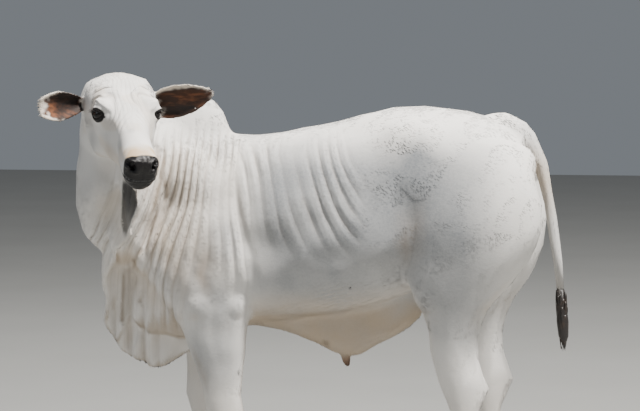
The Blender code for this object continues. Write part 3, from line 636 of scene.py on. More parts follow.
def body_relief(points, normals, area):
    """Folds of loose skin and the muscles under it, as a height, and a share of painted shade along
    the cords and grooves.
    """
    x, y, z, off_head = (area[k] for k in ("x", "y", "z", "off_head"))
    height = np.zeros(len(points))
    # A share of painted shade, darkest along the cords and grooves.
    creases = np.zeros(len(points))
    side_on = eased(np.abs(normals[:, 1]), 0.20, 0.55)

    lines, shares = fold_field(points, normals, area)
    for k, depth in enumerate(FOLD_DEPTHS):
        # The dewlap's pleats swing to one side as a whole sheet does.
        swing = -normals[:, 1] if k == 2 else 1
        height += depth * folded(lines[:, k]) * shares[:, k] * off_head * swing

    # The pouch under the throat: a deep hollow between two hanging sheets that meet at its tip.
    height -= 0.0060 * throat_hollow(points) * off_head
    lip, _ = segment_gap(points, [(-0.452, -0.445, 1.030), (-0.494, -0.380, 0.965),
                                  (-0.535, -0.300, 0.912), (-0.598, -0.190, 0.842)])
    height += 0.0050 * furrow(lip, 0.0090) * off_head
    for line, depth in CORDS:
        gap, _ = segment_gap(points, line)
        groove = furrow(gap, 0.0085) * off_head
        height -= depth * groove
        creases = np.maximum(creases, 0.9 * groove)
    for line, depth, width in GROOVES:
        for side in (LEFT, RIGHT):
            gap, share = segment_gap(points, [on_side(place, side) for place in line])
            fade = np.sin(math.pi * share.clip(0.04, 0.96)) ** 0.5
            groove = furrow(gap, width * 1.6) * fade * (np.sign(y) == side) * off_head
            height -= depth * groove
            creases = np.maximum(creases, 0.7 * groove ** 2)
    # Fine slanting wrinkles where the flank folds.
    flank = band(x, 0.02, 0.28, 0.05) * band(z, 0.700, 0.785, 0.02) * side_on
    slant = z - 0.32 * x + 0.004 * waves(points, 0.06, 55)
    height += 0.0014 * np.cos(2 * math.pi * slant / 0.013) * flank
    for place, lift, radius in SWELLINGS:
        for side in (LEFT, RIGHT):
            height += lift * around(points, on_side(place, side), radius)
    # Lower legs: tendons behind the cannon, the hollow before the hock's cord.
    for side, fore, hind in LEG_SHIFTS:
        for line, depth, width in (
            (((0.452 + hind, 0.155, 0.655), (0.462 + hind, 0.150, 0.570),
              (0.474 + hind, 0.150, 0.510)), 0.0050, 0.011),
            (((-0.242 + fore, 0.155, 0.345), (-0.252 + fore, 0.155, 0.200)), 0.0022, 0.006),
            (((0.462 + hind, 0.152, 0.370), (0.462 + hind, 0.152, 0.200)), 0.0022, 0.006),
        ):
            for y_share in (1.0, 0.66):
                gap, _ = segment_gap(points, [(p, side * q * y_share, r) for p, q, r in line])
                height -= depth * furrow(gap, width) * (np.sign(y) == side)
    # A small swelling that carries each dewclaw.
    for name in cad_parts:
        if name.startswith("dewclaw_"):
            corners = np.array([list(corner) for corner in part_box(name)])
            height += 0.0050 * around(points, corners.mean(axis=0) - SHIFT - (0.012, 0, 0), 0.026)
    # The spine's shallow line over the loin, and slack rolls all over.
    height -= 0.0024 * furrow(y, 0.014) * band(x, -0.05, 0.50, 0.05) * (normals[:, 2] > 0.5)
    height += 0.0010 * waves(points, 0.060, 61) * off_head
    return height, (creases * off_head).clip(0, 1)


def evening_weight(points, area):
    """How far each place is evened out: less where the form is small or sharp."""
    dewlap = eased(-area["x"], 0.42, 0.50) * (1 - eased(area["z"], 0.90, 1.0)) * (1 - area["head"])
    weights = [
        1 - 0.80 * area["legs"], 1 - 0.80 * area["tail"], 1 - 0.88 * area["ears"],
        1 - 0.55 * dewlap, 1 - 0.60 * area["head"] * eased(area["a"], 0.10, 0.30),
        1 - 0.93 * around(points, in_head(0.40, 0, -0.01), 0.10) ** 0.5,
        1 - 0.85 * around(points, (0.083, 0, 0.520), 0.05),
    ]
    for side in (LEFT, RIGHT):
        weights += [1 - 0.985 * around(points, eye_centre(side), 0.065) ** 0.5,
                    1 - 0.80 * around(points, beside_head(side, EAR_PLACE), 0.045)]
    return np.minimum.reduce(weights)


def thinned(skin, area):
    """Takes triangles out of the hide, fewest on the head, the ears and the folds."""
    folds = band(area["x"], -0.66, 0.14, 0.04) * band(area["z"], 0.52, 1.22, 0.03)
    keep = np.maximum.reduce([area["head"] * eased(area["a"], 0.05, 0.12), 0.6 * area["ears"],
                              0.55 * folds])
    group = skin.vertex_groups.new(name="coarse")
    for share in range(11):
        chosen = np.where(np.round((1 - keep) * 10) == share)[0]
        if len(chosen):
            group.add([int(i) for i in chosen], share / 10, "REPLACE")
    skin.data.calc_loop_triangles()
    thin = skin.modifiers.new("Thin", "DECIMATE")
    thin.ratio = SKIN_TRIANGLES / len(skin.data.loop_triangles)
    thin.vertex_group = "coarse"
    thin.vertex_group_factor = 0.9
    settled(skin)
    skin.vertex_groups.clear()
    skin.data.shade_smooth()


def skin_object():
    """The seamless hide: the joined flesh, evened out, with its relief, and thinned."""
    skin = joined_flesh()
    mesh = skin.data
    points = mesh_points(mesh) - SHIFT
    edges = values_of(mesh.edges, "vertices", 2, np.int32)
    weight = evening_weight(points, regions(points, vertex_normals(mesh)))
    points = relaxed(points, edges, np.minimum(0.25 + weight, 1), RELAXING_ROUNDS)
    points = evened(points, edges, weight.clip(0.01, 1), EVENING_ROUNDS)
    # The jaw runs into the throat without a hard line.
    jaw = [head_coords(np.array(place)) for place in JAW_LINE]
    for flip in (1, -1):
        gap, _ = segment_gap(points, [in_head(one, flip * two, up) for one, two, up in jaw])
        points = filled(points, edges, 1 - eased(gap, 0.014, 0.046), FILLING_ROUNDS)
    put_points(mesh, points + SHIFT)

    normals = vertex_normals(mesh)
    area = regions(points, normals)
    relief, _ = body_relief(points, normals, area)
    relief += head_relief(points, area)
    depth = COAT_DEPTH * (1 - 0.75 * np.maximum(area["head"], area["ears"]))
    depth *= (1 - 0.5 * area["legs"]) * (1 - 0.9 * area["tail"])
    points = points + normals * (relief - depth)[:, None]
    points[:, 2] = np.maximum(points[:, 2], LOWEST_HIDE)
    put_points(mesh, points + SHIFT)
    thinned(skin, area)
    return skin


# Markings and painted shade.

def black_marks(points, area, ragged):
    """Nose pad, lips, skin round the eyes, tail's end and coronets; and what of it is bare."""
    a, b, c, z, on_head = (area[k] for k in ("a", "b", "c", "z", "head"))
    edge = 0.3985 - 9.0 * b ** 2 + ragged * 0.15 + 0.30 * (0.026 - c).clip(0, 0.05) * eased(
        np.abs(b), 0.020, 0.038)
    muzzle = eased(a - edge, -0.0018, 0.0018) * eased(c - MOUTH_LINE, -0.003, 0.001)
    side_lip = furrow(c - MOUTH_LINE, 0.0040) * eased(a + ragged, 0.345, 0.362)
    chin = eased(a + ragged * 0.6 - 5.0 * b ** 2, 0.352, 0.366)
    chin = chin * eased(MOUTH_LINE - c, 0.001, 0.004)
    black = np.maximum.reduce([
        np.maximum.reduce([muzzle, side_lip, chin]) * on_head,
        area["tail"] * (1 - eased(z, 0.735, 0.750)),
        0.75 * (1 - eased(z + ragged, 0.078, 0.090)),
        0.8 * around(points, (0.020, -0.04, 0.575), 0.022),
    ])
    for side in (LEFT, RIGHT):
        along, up, out = eye_gap(points, side)
        narrow = 1.0 if side == RIGHT else 1.45
        ring = np.sqrt((along * 0.86) ** 2 + ((up - 0.04) * 1.06) ** 2) * narrow + ragged * 3
        black = np.maximum(black, (1 - eased(ring, 1.00, 1.10)) * (out > 0) * on_head)
        corner = 1 - eased(np.hypot((along - 1.12) * 0.9, (up + 0.18) * 2.2), 0.22, 0.36)
        black = np.maximum(black, corner * (out > -0.2) * on_head * (side == RIGHT))
    return black, np.maximum(muzzle * on_head, chin * on_head * 0.8)


def tan_and_shade_marks(points, area, creases, painted_belly_shade):
    """Tan over the nose pad and low on the face, cream on dewlap, neck and chest, deeper in the
    dewlap's creases as painted shade, painted shade under the belly, a patch at the dock, and tan
    low on the legs.
    """
    a, b, c, x, z, on_head = (area[k] for k in ("a", "b", "c", "x", "z", "head"))
    bridge = band(a + 3.0 * b ** 2, 0.350, 0.41, 0.012) * eased(c, 0.014, 0.030) * on_head
    cream = (0.6 + 0.5 * waves(points * (1, 1, 0.3), 0.10, 79)).clip(0.1, 1)
    edge = 1 - 0.8 * eased(-x, 0.60, 0.63)
    under = eased(-x, 0.36, 0.50) * (1 - eased(z, 1.05, 1.25)) * area["off_head"] * edge
    chest = around(points, (-0.52, -0.14, 0.83), 0.24)
    return np.maximum.reduce([
        0.95 * bridge * (0.85 + 0.2 * waves(points, 0.03, 73)).clip(0.4, 1),
        0.30 * on_head * band(a, 0.20, 0.34, 0.03) * eased(-c, 0.0, 0.03),
        0.20 * on_head * eased(waves(points, 0.05, 74), 0.0, 0.8),
        # cream on dewlap and brisket, deeper in the creases as painted shade
        (0.20 + 0.30 * creases) * under * cream,
        0.72 * chest * cream * edge,
        0.26 * band(fan_place(x, z), 0.1, 1.0, 0.1) * band(z, 0.8, 1.2, 0.08) * cream
        * area["off_head"],
        0.20 * (1 - eased(z, 0.25, 0.60)),
        # painted shade under the belly, in tan
        0.60 * painted_belly_shade,
        0.45 * around(points, (0.655, -0.03, 1.08), 0.13),
    ])


def ear_marks(points, normals, area):
    """Shares of brown, black and tan in the cups of the ears."""
    z, seen = area["z"], across_view(area["x"], area["y"])
    ruffle = 0.05 * waves(points, 0.012, 75)
    brown, black, tan = np.zeros((3, len(points)))
    for side in (LEFT, RIGHT):
        share, across, _ = ear_coords(points, side)
        reach, opening = ear_ways(side)
        inside = eased(normals @ opening, 0.10, 0.45) * ear_mask(points, side)
        half = 0.050 * np.interp(share, (0.0, 0.14, 0.32, 0.5, 0.68, 0.84, 0.95, 1.0),
                                 (0.5, 0.7, 0.95, 1.0, 0.90, 0.68, 0.42, 0.20))
        up_side = across * np.sign(np.cross(reach, opening)[2])
        if side == LEFT:
            rim = 1 - eased(up_side / half + ruffle, 0.60, 0.84)
            rim *= 1 - eased(-up_side / half + ruffle, 0.98, 1.14)
            spread = (1 - eased(share + ruffle, 0.93, 1.01)) * eased(share + ruffle, 0.10, 0.24)
            dark = 1 - eased(np.hypot((seen + 0.400) / 0.062, (z - 1.289) / 0.019), 0.7, 1.1)
            rusty = 1 - eased(np.hypot((seen + 0.385) / 0.055, (z - 1.333) / 0.022), 0.4, 1.2)
        else:
            rim = 1 - eased(np.abs(across) / half + ruffle, 0.76, 0.96)
            spread = (1 - eased(share + ruffle, 0.84, 0.96)) * eased(share + ruffle, 0.04, 0.16)
            dark = eased(seen, -0.772, -0.752) * eased(z, 1.284, 1.304)
            rusty = (1 - eased(seen, -0.768, -0.752)) * (1 - eased(z, 1.312, 1.332))
        cup = inside * rim * spread
        brown = np.maximum(brown, cup)
        black = np.maximum(black, (0.84 * dark + 0.45 * (1 - rusty) * (1 - dark)) * cup)
        tan = np.maximum(tan, 0.5 * inside * (1 - cup) * eased(share, 0.1, 0.3))
    return brown, black, tan


# Grey patches: where dark hide shows through thin hair, and painted shade low on shoulder and ribs,
# in the flank's hollow and by the stifle: how much, the place on either side, and its reach.
GREY_AND_SHADE_PATCHES = (
    (0.16, (-0.33, 0.03, 1.27), 0.20), (0.34, (-0.29, 0.19, 0.70), 0.13),
    (0.36, (-0.36, 0.19, 0.79), 0.12), (0.26, (-0.03, 0.22, 0.88), 0.26),
    (0.78, (0.329, 0.20, 1.156), 0.060), (0.66, (0.385, 0.20, 1.100), 0.075),
    (0.62, (0.184, 0.20, 1.085), 0.120), (0.60, (0.193, 0.22, 0.998), 0.120),
    (0.56, (0.267, 0.21, 1.056), 0.100), (0.54, (0.222, 0.21, 0.910), 0.130),
    (0.56, (0.326, 0.20, 0.858), 0.065), (0.44, (0.458, 0.20, 0.846), 0.100),
    (0.44, (0.100, 0.19, 1.165), 0.050), (0.44, (0.040, 0.18, 1.150), 0.040),
    (0.36, (-0.095, 0.18, 1.135), 0.070), (0.52, (0.12, 0.22, 0.84), 0.260),
    (0.44, (0.40, 0.20, 0.70), 0.140), (0.38, (0.36, 0.22, 1.00), 0.160),
    (0.34, (-0.10, 0.20, 0.98), 0.160), (0.32, (-0.35, 0.20, 1.02), 0.140),
    (0.52, (-0.27, 0.20, 0.90), 0.090), (0.44, (-0.30, 0.18, 0.55), 0.140),
    (0.46, (-0.05, 0.22, 0.78), 0.200),
)


def grey_and_shade_marks(points, area, painted_belly_shade):
    """Grey where dark hide shows through thin hair on hump, shoulder, ribs and hip, grey on the
    right cheek and the throat, and painted shade on the flanks' sides, low on the body and under
    the belly.
    """
    x, z, on_head, off_head = (area[k] for k in ("x", "z", "head", "off_head"))
    cloud = (0.62 + 0.40 * waves(points, 0.12, 81)).clip(0.1, 1)
    fine = (0.5 + 0.5 * waves(points, 0.045, 82)).clip(0, 1)
    grey = np.zeros(len(points))
    for share, place, radius in GREY_AND_SHADE_PATCHES:
        for side in (LEFT, RIGHT):
            patch = around(points, on_side(place, side), radius * 1.25)
            grey = np.maximum(grey, share * patch)
    flank = band(z, 0.60, 1.17, 0.07) * eased(x, -0.26, -0.08) * (1 - eased(x, 0.44, 0.60))
    upper = eased(z, 0.80, 0.94)
    throat = eased(-x, 0.52, 0.60) * band(z, 0.92, 1.22, 0.05) * off_head
    scurf = np.maximum(around(points, in_head(0.070, 0.075, 0.080), 0.018),
                       0.6 * around(points, in_head(0.045, 0.062, 0.092), 0.013))
    grey = np.maximum.reduce([
        (grey * (0.90 + 0.50 * cloud + 0.20 * fine)).clip(0, 0.93) * off_head,
        # painted shade on the sides of the flank, more so higher up
        flank * off_head * area["sideways"] * (0.42 + 0.22 * cloud + 0.30 * upper),
        0.34 * area["tail"],
        # painted shade under the belly, in grey
        0.62 * painted_belly_shade,
        0.14 * on_head * fine,
        0.45 * around(points, in_head(0.285, -0.012, 0.055), 0.022),
        0.30 * throat * (0.6 + 0.5 * fine),
        0.75 * scurf * (0.6 + 0.4 * waves(points, 0.006, 83)),
    ])
    for place, radius, share in ((in_head(0.235, -0.075, -0.02), 0.07, 0.44),
                                 (in_head(0.150, -0.090, -0.06), 0.08, 0.42),
                                 (in_head(0.300, -0.050, 0.015), 0.04, 0.30)):
        grey = np.maximum(grey, share * around(points, place, radius) * (0.5 + 0.6 * fine))
    return grey


def markings(points, normals):
    """Shares of each colour at places of the hide, painted shade in creases, grooves and hollows
    among them, and the fold lines and their shares.
    """
    area = regions(points, normals)
    x, y, z, off_head = (area[k] for k in ("x", "y", "z", "off_head"))
    ragged = 0.006 * waves(points, 0.012, 71) + 0.004 * waves(points, 0.035, 72)
    hollow = throat_hollow(points) * off_head
    # Painted shade along the cords and grooves, left out of the throat's hollow, whose shade is
    # painted on its own.
    _, creases = body_relief(points, normals, area)
    creases = creases * (1 - hollow)
    lines, shares = fold_field(points, normals, area)
    # Painted shade under the belly: the flap along the midline, and all downward-facing hide low on
    # the body.
    painted_belly_shade = band(x, -0.24, 0.34, 0.04) * (1 - eased(np.abs(y), 0.10, 0.16)) * (
        1 - eased(z, 0.66, 0.74)) * off_head
    painted_belly_shade = np.maximum(painted_belly_shade, 0.8 * area["down"] * (1 - eased(z, 0.66, 0.80)) * off_head)
    black, bare = black_marks(points, area, ragged)
    ear_brown, ear_black, ear_tan = ear_marks(points, normals, area)
    # Painted shade: the hollow under the jaw is painted near black, darkest towards the jaw.
    black = np.maximum.reduce([black, ear_black, hollow * (0.74 + 0.20 * eased(z, 0.94, 1.05))])
    marks = {
        "black": black, "bare": bare, "folds": creases,
        "tan": np.maximum(tan_and_shade_marks(points, area, creases, painted_belly_shade), ear_tan),
        "brown": np.maximum(ear_brown, around(points, (0.083, 0, 0.515), 0.045)),
        "grey": grey_and_shade_marks(points, area, painted_belly_shade),
    }
    marks = {key: share.clip(0, 1) for key, share in marks.items()}
    shares = shares.clip(0, 1) * (1 - hollow)[:, None] * (1, 1, 0.6)
    return {**marks, "lines": lines, "shares": shares, "hollow": hollow, "area": area}


def paint(mesh, marks):
    """Writes the markings on a mesh's points: two colours of three shares each, and the folds."""
    write_on(mesh, "fold_lines", marks["lines"])
    write_on(mesh, "fold_shares", marks["shares"])
    for name, shares in (("hide_dark", ("black", "grey", "folds")),
                         ("hide_warm", ("tan", "brown", "bare"))):
        opaque = np.ones(len(marks["black"]))
        write_on(mesh, name, np.column_stack([*(marks[share] for share in shares), opaque]))


# Materials.

def node(tree, kind, **values):
    made = tree.nodes.new(kind)
    for key, value in values.items():
        setattr(made, key, value)
    return made


def group_tree(name, inputs, outputs):
    """A shader node group with its named sockets."""
    tree = bpy.data.node_groups.new(name, "ShaderNodeTree")
    for label, kind, default in inputs:
        socket = tree.interface.new_socket(label, in_out="INPUT", socket_type=kind)
        if default is not None:
            socket.default_value = default
    for label, kind in outputs:
        tree.interface.new_socket(label, in_out="OUTPUT", socket_type=kind)
    return tree, node(tree, "NodeGroupInput"), node(tree, "NodeGroupOutput")


COLOUR, NUMBER, WAY = "NodeSocketColor", "NodeSocketFloat", "NodeSocketVector"


def feed(tree, socket, value):
    """Links a socket to another one, or gives it a plain value; a colour may come as three."""
    if isinstance(value, bpy.types.NodeSocket):
        tree.links.new(value, socket)
    elif socket.type == "RGBA":
        socket.default_value = (*value, 1)
    else:
        socket.default_value = value


def dress(tree, made, **values):
    """Feeds the inputs of a node by their names."""
    for label, value in values.items():
        feed(tree, made.inputs[label.replace("_", " ")], value)


def mixed(tree, factor, one, two):
    """A colour between two, by a share."""
    mix = node(tree, "ShaderNodeMix", data_type="RGBA")
    for key, value in ((0, factor), (6, one), (7, two)):
        feed(tree, mix.inputs[key], value)
    return mix.outputs[2]


def worked(tree, operation, one, two, clamp=False, three=0.0):
    maths = node(tree, "ShaderNodeMath", operation=operation, use_clamp=clamp)
    for key, value in ((0, one), (1, two), (2, three)):
        feed(tree, maths.inputs[key], value)
    return maths.outputs[0]


def times(tree, one, two, clamp=False):
    return worked(tree, "MULTIPLY", one, two, clamp)


def plus(tree, one, two):
    return worked(tree, "ADD", one, two)


def minus(tree, one, two, clamp=False):
    return worked(tree, "SUBTRACT", one, two, clamp)


def past(tree, value, level, gain):
    """How far a value is past a level, times a gain, kept between 0 and 1."""
    return times(tree, minus(tree, value, level), gain, clamp=True)


def scaled(tree, value, gain, offset, clamp=False):
    return worked(tree, "MULTIPLY_ADD", value, gain, clamp, offset)


def noise(tree, where, scale, detail=2.0, roughness=0.5):
    made = node(tree, "ShaderNodeTexNoise")
    dress(tree, made, Vector=where, Scale=scale, Detail=detail, Roughness=roughness)
    return made.outputs["Fac"]


def object_place(tree):
    return node(tree, "ShaderNodeTexCoord").outputs["Object"]


def stretched(tree, where, scale, turn=(0, 0, 0)):
    """Places drawn out or squeezed along the axes, for a pattern that has a direction."""
    mapping = node(tree, "ShaderNodeMapping")
    dress(tree, mapping, Vector=where, Rotation=turn, Scale=scale)
    return mapping.outputs[0]


def bumped(tree, height, strength, depth, under=None):
    """The normal of a relief, which may lie over another relief."""
    bump = node(tree, "ShaderNodeBump")
    dress(tree, bump, Height=height, Strength=strength, Distance=depth)
    if under is not None:
        dress(tree, bump, Normal=under)
    return bump.outputs["Normal"]


def marked(tree, name, kind="Color"):
    """The three numbers that an attribute of the mesh holds."""
    parts = node(tree, "ShaderNodeSeparateColor" if kind == "Color" else "ShaderNodeSeparateXYZ")
    tree.links.new(node(tree, "ShaderNodeAttribute", attribute_name=name).outputs[kind],
                   parts.inputs[0])
    return parts.outputs


def fold_group():
    """Slack folds finer than the mesh: three families of lines with creases between them, as a
    height and as a share of painted shade in the creases.
    """
    tree, start, end = group_tree(
        "slack_folds", (("Waver", NUMBER, 0.34),), (("Height", NUMBER), ("Crease", NUMBER)))
    upright = stretched(tree, object_place(tree), (1.0, 1.0, 0.22))
    waver = minus(tree, noise(tree, upright, 34.0, 3.0, 0.6), 0.5)
    waver = times(tree, waver, start.outputs["Waver"])
    broken = scaled(tree, noise(tree, upright, 22.0, 2.0, 0.5), 1.9, -0.42, clamp=True)
    lines, shares = (marked(tree, name, "Vector") for name in ("fold_lines", "fold_shares"))
    height, crease_shade = None, None
    for k in range(3):
        line = plus(tree, lines[k], waver)
        off = worked(tree, "PINGPONG", line, 0.5)
        sharp = scaled(tree, off, -4.6, 1.0, clamp=True)
        sharp = times(tree, sharp, scaled(tree, broken, 0.7, 0.3))
        fine = worked(tree, "PINGPONG", scaled(tree, line, 2.37, 0.31), 0.5)
        crest = worked(tree, "SINE", times(tree, off, math.pi), 0.0)
        shape = scaled(tree, crest, 0.75, times(tree, fine, 0.55))
        shape = times(tree, minus(tree, shape, times(tree, sharp, 0.45)), shares[k])
        faint = scaled(tree, fine, -4.0, 0.75, clamp=True)
        # Each crease's share of painted shade.
        mark = worked(tree, "MAXIMUM", sharp, times(tree, faint, 0.40))
        mark = times(tree, mark, shares[k])
        height = shape if height is None else plus(tree, height, shape)
        crease_shade = mark if crease_shade is None else worked(tree, "MAXIMUM", crease_shade, mark)
    dress(tree, end, Height=height, Crease=crease_shade)
    return tree


def hide_colour_group():
    """The hide's colour, with painted shade in creases, grooves and hollows, and its shares of bare
    black skin, from the markings on the points.
    """
    tree, start, end = group_tree(
        "hide_colour",
        (("White", COLOUR, (0.800, 0.775, 0.740, 1)), ("Grey", COLOUR, (0.185, 0.20, 0.22, 1)),
         ("Cream", COLOUR, (0.56, 0.42, 0.27, 1)), ("Brown", COLOUR, (0.050, 0.022, 0.012, 1)),
         ("Black", COLOUR, (0.0045, 0.004, 0.0045, 1)), ("Mottle", NUMBER, 1.0)),
        (("Colour", COLOUR), ("Dark", NUMBER), ("Bare", NUMBER), ("Height", NUMBER)),
    )
    slack = placed_group(tree, "folds")
    place = object_place(tree)
    black, grey, folds = marked(tree, "hide_dark")
    tan, brown, bare = marked(tree, "hide_warm")
    patches = noise(tree, place, 9.0, 4.0, 0.6)
    flecks = noise(tree, place, 130.0, 3.0, 0.7)
    flecked = past(tree, flecks, 0.42, 0.45)
    patched = past(tree, patches, 0.40, 0.75)
    faint = times(tree, plus(tree, flecked, patched), start.outputs["Mottle"])
    colour = mixed(tree, times(tree, faint, 0.16), start.outputs["White"], (0.56, 0.53, 0.49))
    colour = mixed(tree, times(tree, grey, plus(tree, flecked, 0.90)), colour,
                   start.outputs["Grey"])
    warmth = times(tree, tan, plus(tree, patches, 0.55), clamp=True)
    colour = mixed(tree, warmth, colour, start.outputs["Cream"])
    # Painted shade: creases and grooves are darkened towards dark brown.
    deep = worked(tree, "MAXIMUM", folds, times(tree, slack.outputs["Crease"], 0.80))
    colour = mixed(tree, times(tree, deep, 0.85, clamp=True), colour, (0.255, 0.190, 0.135))
    streaks = noise(tree, stretched(tree, place, (0.35, 0.8, 1.6)), 42.0, 3.0, 0.6)
    rusty = mixed(tree, past(tree, streaks, 0.44, 4.0), start.outputs["Brown"],
                  (0.22, 0.080, 0.034))
    colour = mixed(tree, brown, colour, rusty)
    sooty = mixed(tree, times(tree, flecks, 0.4), start.outputs["Black"], (0.020, 0.017, 0.017))
    colour = mixed(tree, black, colour, sooty)
    dress(tree, end, Colour=colour, Dark=black, Bare=bare, Height=slack.outputs["Height"])
    return tree


def hair_bump_group():
    """Short flat hair as a fine relief: streaks that run back along the body, down the legs."""
    tree, start, end = group_tree(
        "short_hair_relief",
        (("Strength", NUMBER, 0.35), ("Depth", NUMBER, 0.0012)), (("Normal", WAY),),
    )
    place = object_place(tree)
    lie = (0, math.radians(20), 0)
    layers = [noise(tree, stretched(tree, place, stretch, lie), scale, 2.0, 0.55)
              for stretch, scale in (((0.22, 1.0, 0.75), 420.0), ((0.35, 1.0, 0.8), 190.0))]
    clumps = noise(tree, place, 60.0, 3.0, 0.6)
    streaks = plus(tree, times(tree, layers[0], 0.45), times(tree, layers[1], 0.55))
    height = plus(tree, streaks, times(tree, clumps, 0.6))
    dress(tree, end,
          Normal=bumped(tree, height, start.outputs["Strength"], start.outputs["Depth"]))
    return tree


def pebble_group():
    """The nose pad's small wet pebbles, as a height share by its mask."""
    tree, start, end = group_tree(
        "pebbled_pad", (("Mask", NUMBER, 1.0), ("Scale", NUMBER, 330.0)), (("Height", NUMBER),))
    cells = node(tree, "ShaderNodeTexVoronoi", feature="DISTANCE_TO_EDGE")
    dress(tree, cells, Vector=object_place(tree), Scale=start.outputs["Scale"])
    domes = times(tree, cells.outputs["Distance"], 2.4, clamp=True)
    dress(tree, end, Height=times(tree, domes, start.outputs["Mask"]))
    return tree


GROUPS = {}


def placed_group(tree, kind):
    """Sets one of the shared groups into a material; each group is built once."""
    if kind not in GROUPS:
        GROUPS[kind] = {"hide": hide_colour_group, "hair": hair_bump_group,
                        "pebble": pebble_group, "folds": fold_group}[kind]()
    made = node(tree, "ShaderNodeGroup")
    made.node_tree = GROUPS[kind]
    return made


def principled(name, **values):
    material = bpy.data.materials.new(name)
    material.use_nodes = True
    surface = material.node_tree.nodes["Principled BSDF"]
    dress(material.node_tree, surface, **values)
    return material, material.node_tree, surface


def skin_material():
    material, tree, surface = principled("short_white_hide", Specular_IOR_Level=0.36)
    hide, hair = placed_group(tree, "hide"), placed_group(tree, "hair")
    hair.inputs["Strength"].default_value = 0.38
    pebble = placed_group(tree, "pebble")
    tree.links.new(hide.outputs["Bare"], pebble.inputs["Mask"])
    shine = times(tree, hide.outputs["Dark"], 0.22)
    wet = times(tree, hide.outputs["Bare"], 0.26)
    rough = minus(tree, minus(tree, 0.78, shine), wet)
    slack = bumped(tree, hide.outputs["Height"], 0.75, SLACK_DEPTH, under=hair.outputs["Normal"])
    pad = bumped(tree, pebble.outputs["Height"], 0.6, 0.0008, under=slack)
    dress(tree, surface, Base_Color=hide.outputs["Colour"], Roughness=rough, Normal=pad)
    return material


def coat_material():
    material, tree, surface = principled("short_white_coat_tufts")
    hide = placed_group(tree, "hide")
    hide.inputs["Mottle"].default_value = 0.7
    shine = times(tree, hide.outputs["Dark"], 0.15)
    dress(tree, surface, Base_Color=hide.outputs["Colour"],
          Roughness=minus(tree, 0.62, shine),
          Normal=bumped(tree, hide.outputs["Height"], 0.60, SLACK_DEPTH))
    return material


def eye_material():
    """A dark wet eye: brown-black iris with a long level pupil, seen through a clear gloss."""
    material, tree, surface = principled("wet_dark_eye", Roughness=0.12, Coat_Weight=0.5,
                                         Coat_Roughness=0.02, Specular_IOR_Level=0.15)
    pupil, iris, radial = marked(tree, "eye_zones")
    rays = noise(tree, radial, 60.0, 2.0)
    brown = mixed(tree, rays, (0.0045, 0.0025, 0.002), (0.013, 0.007, 0.0045))
    colour = mixed(tree, iris, (0.012, 0.009, 0.008), brown)
    colour = mixed(tree, pupil, colour, (0.0015, 0.0015, 0.002))
    dress(tree, surface, Base_Color=colour)
    return material


def bare_skin_material(name, base, worn, roughness, scale):
    """Bare dark skin: fine wrinkles and a faint change of tone."""
    material, tree, surface = principled(name, Specular_IOR_Level=0.3)
    place = object_place(tree)
    tone = noise(tree, place, scale, 4.0, 0.6)
    wrinkles = noise(tree, place, scale * 4, 3.0, 0.6)
    rough = plus(tree, times(tree, tone, 0.25), roughness - 0.1)
    dress(tree, surface, Base_Color=mixed(tree, tone, base, worn), Roughness=rough,
          Normal=bumped(tree, wrinkles, 0.5, 0.0006))
    return material


def horn_material():
    """Hoof horn: dark grey, ringed across its growth, paler and scuffed towards the ground."""
    material, tree, surface = principled("scuffed_dark_horn")
    place = object_place(tree)
    split = node(tree, "ShaderNodeSeparateXYZ")
    tree.links.new(place, split.inputs[0])
    height = split.outputs["Z"]
    rings = noise(tree, stretched(tree, place, (0.12, 0.12, 1.0)), 330.0, 3.0, 0.6)
    grain = noise(tree, stretched(tree, place, (1.0, 1.0, 0.08)), 700.0, 2.0, 0.5)
    low = minus(tree, 1.0, times(tree, height, 22.0, clamp=True), clamp=True)
    colour = mixed(tree, rings, (0.030, 0.026, 0.024), (0.095, 0.082, 0.070))
    scuffs = noise(tree, place, 160.0, 4.0, 0.7)
    scuffed = times(tree, times(tree, low, scuffs), 1.1, clamp=True)
    colour = mixed(tree, scuffed, colour, (0.26, 0.22, 0.175))
    relief = plus(tree, rings, times(tree, grain, 0.5))
    dress(tree, surface, Base_Color=colour,
          Roughness=plus(tree, 0.32, times(tree, scuffed, 0.4)),
          Normal=bumped(tree, relief, 0.5, 0.0007))
    return material


def lock_material():
    """Black tail hair: strands along each lock, a little brown where light has bleached it."""
    material, tree, surface = principled("black_switch_hair", Roughness=0.42)
    along = node(tree, "ShaderNodeUVMap", uv_map="strand")
    strands = noise(tree, stretched(tree, along.outputs[0], (9.0, 0.5, 1.0)), 9.0, 3.0, 0.6)
    bleach = noise(tree, object_place(tree), 45.0, 2.0)
    colour = mixed(tree, strands, (0.006, 0.0055, 0.006), (0.030, 0.024, 0.021))
    colour = mixed(tree, past(tree, bleach, 0.5, 1.6), colour, (0.075, 0.045, 0.028))
    dress(tree, surface, Base_Color=colour, Normal=bumped(tree, strands, 0.6, 0.0006))
    return material


# Eyes.

